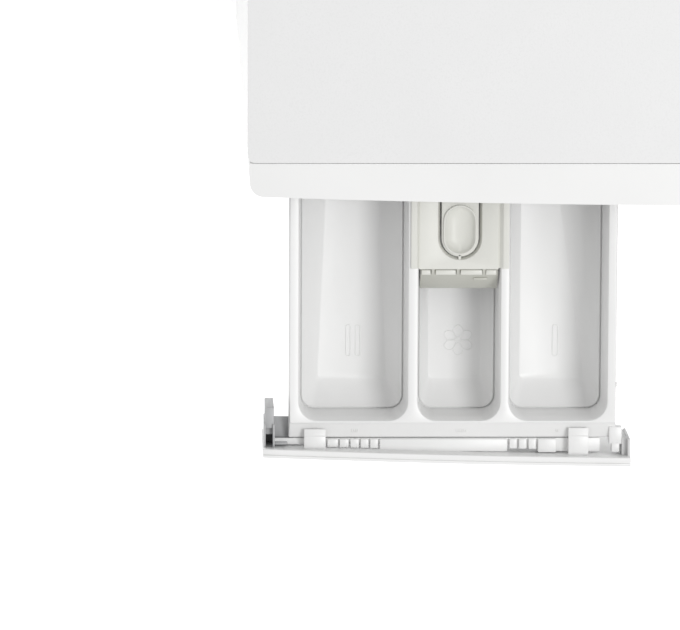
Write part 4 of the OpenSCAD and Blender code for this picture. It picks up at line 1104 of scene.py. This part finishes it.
def button_marks():
    """A start and pause sign, and a clock sign, printed on the buttons' faces."""
    for node_name, sign in (("start_button", "start"), ("option_button", "clock")):
        low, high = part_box(node_name)
        x, z, face = (low.x + high.x) / 2, (low.z + high.z) / 2, low.y
        bm = bmesh.new()
        if sign == "start":
            tip = [(x - 4.6 * MM, z - 3 * MM), (x - 4.6 * MM, z + 3 * MM), (x + 0.4 * MM, z)]
            prism(bm, [(px, face - PRINT_OUT, pz) for px, pz in tip], (0, 0, 0), (0, 0.25 * MM, 0))
            for bar in (1.6, 3.8):
                block(bm, (x + bar * MM, face - PRINT_OUT, z - 3 * MM),
                      (x + (bar + 1.2) * MM, face + PRINT_IN, z + 3 * MM), 0.05 * MM, 1)
        else:
            rim_in, rim_out = 3.8 * MM, 4.5 * MM
            turned_piece(bm, [(rim_in, face - PRINT_OUT), (rim_out, face - PRINT_OUT),
                              (rim_out, face + PRINT_IN), (rim_in, face + PRINT_IN)], (x, 0, z), steps=40)
            for far in ((x + 0.3 * MM, z + 2.8 * MM), (x + 2.2 * MM, z + 0.3 * MM)):
                block(bm, (x - 0.3 * MM, face - PRINT_OUT, z - 0.3 * MM), (far[0], face + PRINT_IN, far[1]),
                      0.04 * MM, 1)
        finished(bm, node_name + "_mark", "dark_plastic", node_name, material=PRINT)


# ---------------------------------------------------------------- rubber and springs round the tub

DRUM_CENTRE = (0, 0, drum_axis_z)


def door_gasket():
    """The folded rubber bellows between the front panel and the tub, with its sealing lip."""
    bm = bmesh.new()
    low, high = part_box("door_gasket")
    lip, start = high.x - 14.5 * MM, low.y
    # distance out from the lip and in from the front, in millimetres, of the folded wall and the sealing lip
    folds = ((3, 0), (3, 7), (3.4, 13), (9, 18), (13, 21.5), (10, 26), (6, 30), (9, 34.5), (13, 38.5),
             (8, 43), (2.4, 47), (2, 52), (2, 57))
    sealing = ((3.2, 13), (-2, 16.6), (-8, 17.4), (-15.6, 14))
    for points, thickness in ((folds, 3 * MM), (sealing, 2.4 * MM)):
        path = smooth_path([(lip + r * MM, start + y * MM) for r, y in points], 4)
        turned_piece(bm, band(path, thickness), DRUM_CENTRE, steps=120)
    piece = finished(bm, "door_bellows", "gasket_rubber", crease=50)
    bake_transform(piece)
    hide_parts("door_gasket")


def suspension_springs():
    """Two coil springs with straight hooked ends, from the side hangers to the tub."""
    bm = bmesh.new()
    low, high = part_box("suspension_springs")
    wire, coil_r = 1.8 * MM, 13 * MM
    y = (low.y + high.y) / 2
    foot, top = low.z + 30 * MM, high.z - 22 * MM
    turns, steps = 12, 16
    for side in (-1, 1):
        x = side * (high.x - coil_r - wire)
        leg = [(x, y, low.z), (x, y, foot - 14 * MM), (x + 1 * MM, y, foot - 8 * MM),
               (x + 6 * MM, y, foot - 3 * MM)]
        coil = [(x + coil_r * math.cos(2 * math.pi * i / steps),
                 y + coil_r * math.sin(2 * math.pi * i / steps),
                 foot + (top - foot) * i / (turns * steps)) for i in range(turns * steps + 1)]
        head = [(x + 6 * MM, y, top + 3 * MM), (x + 1 * MM, y, top + 8 * MM), (x, y, top + 13 * MM),
                (x, y, high.z)]
        swept_tube(bm, leg + coil + head, wire, 8)
    piece = finished(bm, "coil_springs", "zinc_steel", crease=50)
    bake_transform(piece)
    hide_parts("suspension_springs")


def hoses():
    """The sump and fill bellows, and the drain hose clipped to the cabinet."""
    low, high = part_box("hoses")
    r = 24 * MM
    # the two bellows stand upright: name, middle in x and y, foot, head, and the shares of the height
    # between which they pass from the cabinet to the tub
    pump_x, rear = 190 * MM, high.y
    for name, x, y, foot, head, ends in (
            ("sump_bellows", pump_x, rear - 447 * MM, 112 * MM, 220 * MM, (0.12, 0.9)),
            ("fill_bellows", low.x + r, rear - 322 * MM, 666 * MM, 740 * MM, (0.88, 0.1))):
        bm = bmesh.new()
        folds = 9
        span = head - foot
        path = [(r - 2 * MM, foot), (r - 2 * MM, foot + span * 0.1)]
        for k in range(folds):
            z = foot + span * (0.14 + 0.72 * k / (folds - 1))
            path += [(r - 1.2 * MM, z), (r - 3.6 * MM, z + span * 0.045)]
        path += [(r - 2 * MM, head - span * 0.07), (r - 2 * MM, head)]
        turned_piece(bm, band(smooth_path(path, 3), 1.8 * MM), (x, y, 0), "Z", 48)
        piece = finished(bm, name, "black_rubber", crease=60)
        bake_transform(piece)
        if name == "sump_bellows":
            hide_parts("hoses")
    bm = bmesh.new()
    x, z, wall = high.x - 11 * MM, 76 * MM, rear - 2 * MM
    route = [(x - 24 * MM, wall - 395 * MM, z), (x - 14 * MM, wall - 395 * MM, z),
             (x - 4 * MM, wall - 391 * MM, z), (x, wall - 380 * MM, z), (x, wall - 200 * MM, z),
             (x, wall - 42 * MM, z), (x, wall - 30 * MM, z + 4 * MM), (x, wall - 24 * MM, z + 16 * MM),
             (x, wall - 24 * MM, z + 324 * MM), (x, wall - 24 * MM, z + 614 * MM),
             (x, wall - 21 * MM, z + 628 * MM), (x, wall - 11 * MM, z + 636 * MM), (x, rear, z + 636 * MM)]
    swept_tube(bm, smooth_path(route, 6), 10.8 * MM, 18)
    finished(bm, "drain_hose", "black_rubber", "cabinet", crease=60)


# ---------------------------------------------------------------- carried-over parts

# how much each part's edges are rounded, in millimetres, and in how many steps; others get FINE_BREAK
FINE_BREAK = (0.25, 1)
EDGES = {"worktop": (3.8, 4), "control_fascia": (2.2, 3), "kick_panel": (1.2, 2), "filter_flap": (1.0, 2),
         "start_button": (1.0, 3), "option_button": (1.0, 3), "display_window": (0.2, 2),
         "counterweights": (4.0, 2), "door_handle": (1.0, 3), "front_panel": (0.4, 2),
         "base_pan": (0.6, 2), "motor": (1.5, 2),
         "pump_housing": (0.8, 2), "tub_front": (1.0, 2), "tub_rear": (1.0, 2), "lifters": (4.0, 3),
         "dispenser_housing": (1.0, 2), "inlet_valve": (0.8, 2)}


def dress_carried_parts():
    for sub in frame["record"]["subparts"]:
        piece = frame["nodes"][sub["node"]]
        finish = {"drum_shell": PERFORATED, "drum_back": BRUSHED}.get(sub["node"])
        piece.data.materials.clear()
        piece.data.materials.append(finish or FINISHES[sub["material_slot"]])
        piece.data.shade_smooth()
        weld = piece.modifiers.new("weld", "WELD")
        weld.merge_threshold = 0.01 * MM
        width, segments = EDGES.get(sub["node"], FINE_BREAK)
        bevel = piece.modifiers.new("edges", "BEVEL")
        bevel.width = width * MM
        bevel.segments = segments
        bevel.limit_method = "ANGLE"
        bevel.angle_limit = math.radians(35)
        bevel.use_clamp_overlap = True
        piece.modifiers.new("even shading", "WEIGHTED_NORMAL").keep_sharp = True


def stage_floor():
    bm = bmesh.new()
    bmesh.ops.create_grid(bm, x_segments=4, y_segments=4, size=6.0)
    mesh = bpy.data.meshes.new("studio_floor")
    bm.to_mesh(mesh)
    bm.free()
    floor = bpy.data.objects.new("studio_floor", mesh)
    bpy.context.scene.collection.objects.link(floor)
    mesh.materials.append(studio_floor())
    floor.data.transform(Matrix.Translation((0, 0, -0.5 * MM)))


set_camera()
set_lights()
stage_floor()
dress_carried_parts()
detergent_tray()
compartment_marks()
siphon_cap()
release_tongue()
drawer_front()
drawer_front_inside()
program_knob()
dial_marks()
display_digits()
button_marks()
door_gasket()
suspension_springs()
hoses()
for piece, cad in (("detergent_tray", "drawer_tray"), ("siphon_cap_plate", "siphon_cap"),
                   ("release_tongue_pad", "release_tongue"), ("drawer_front_panel", "drawer_front"),
                   ("program_knob_cap", "program_knob")):
    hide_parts(cad)
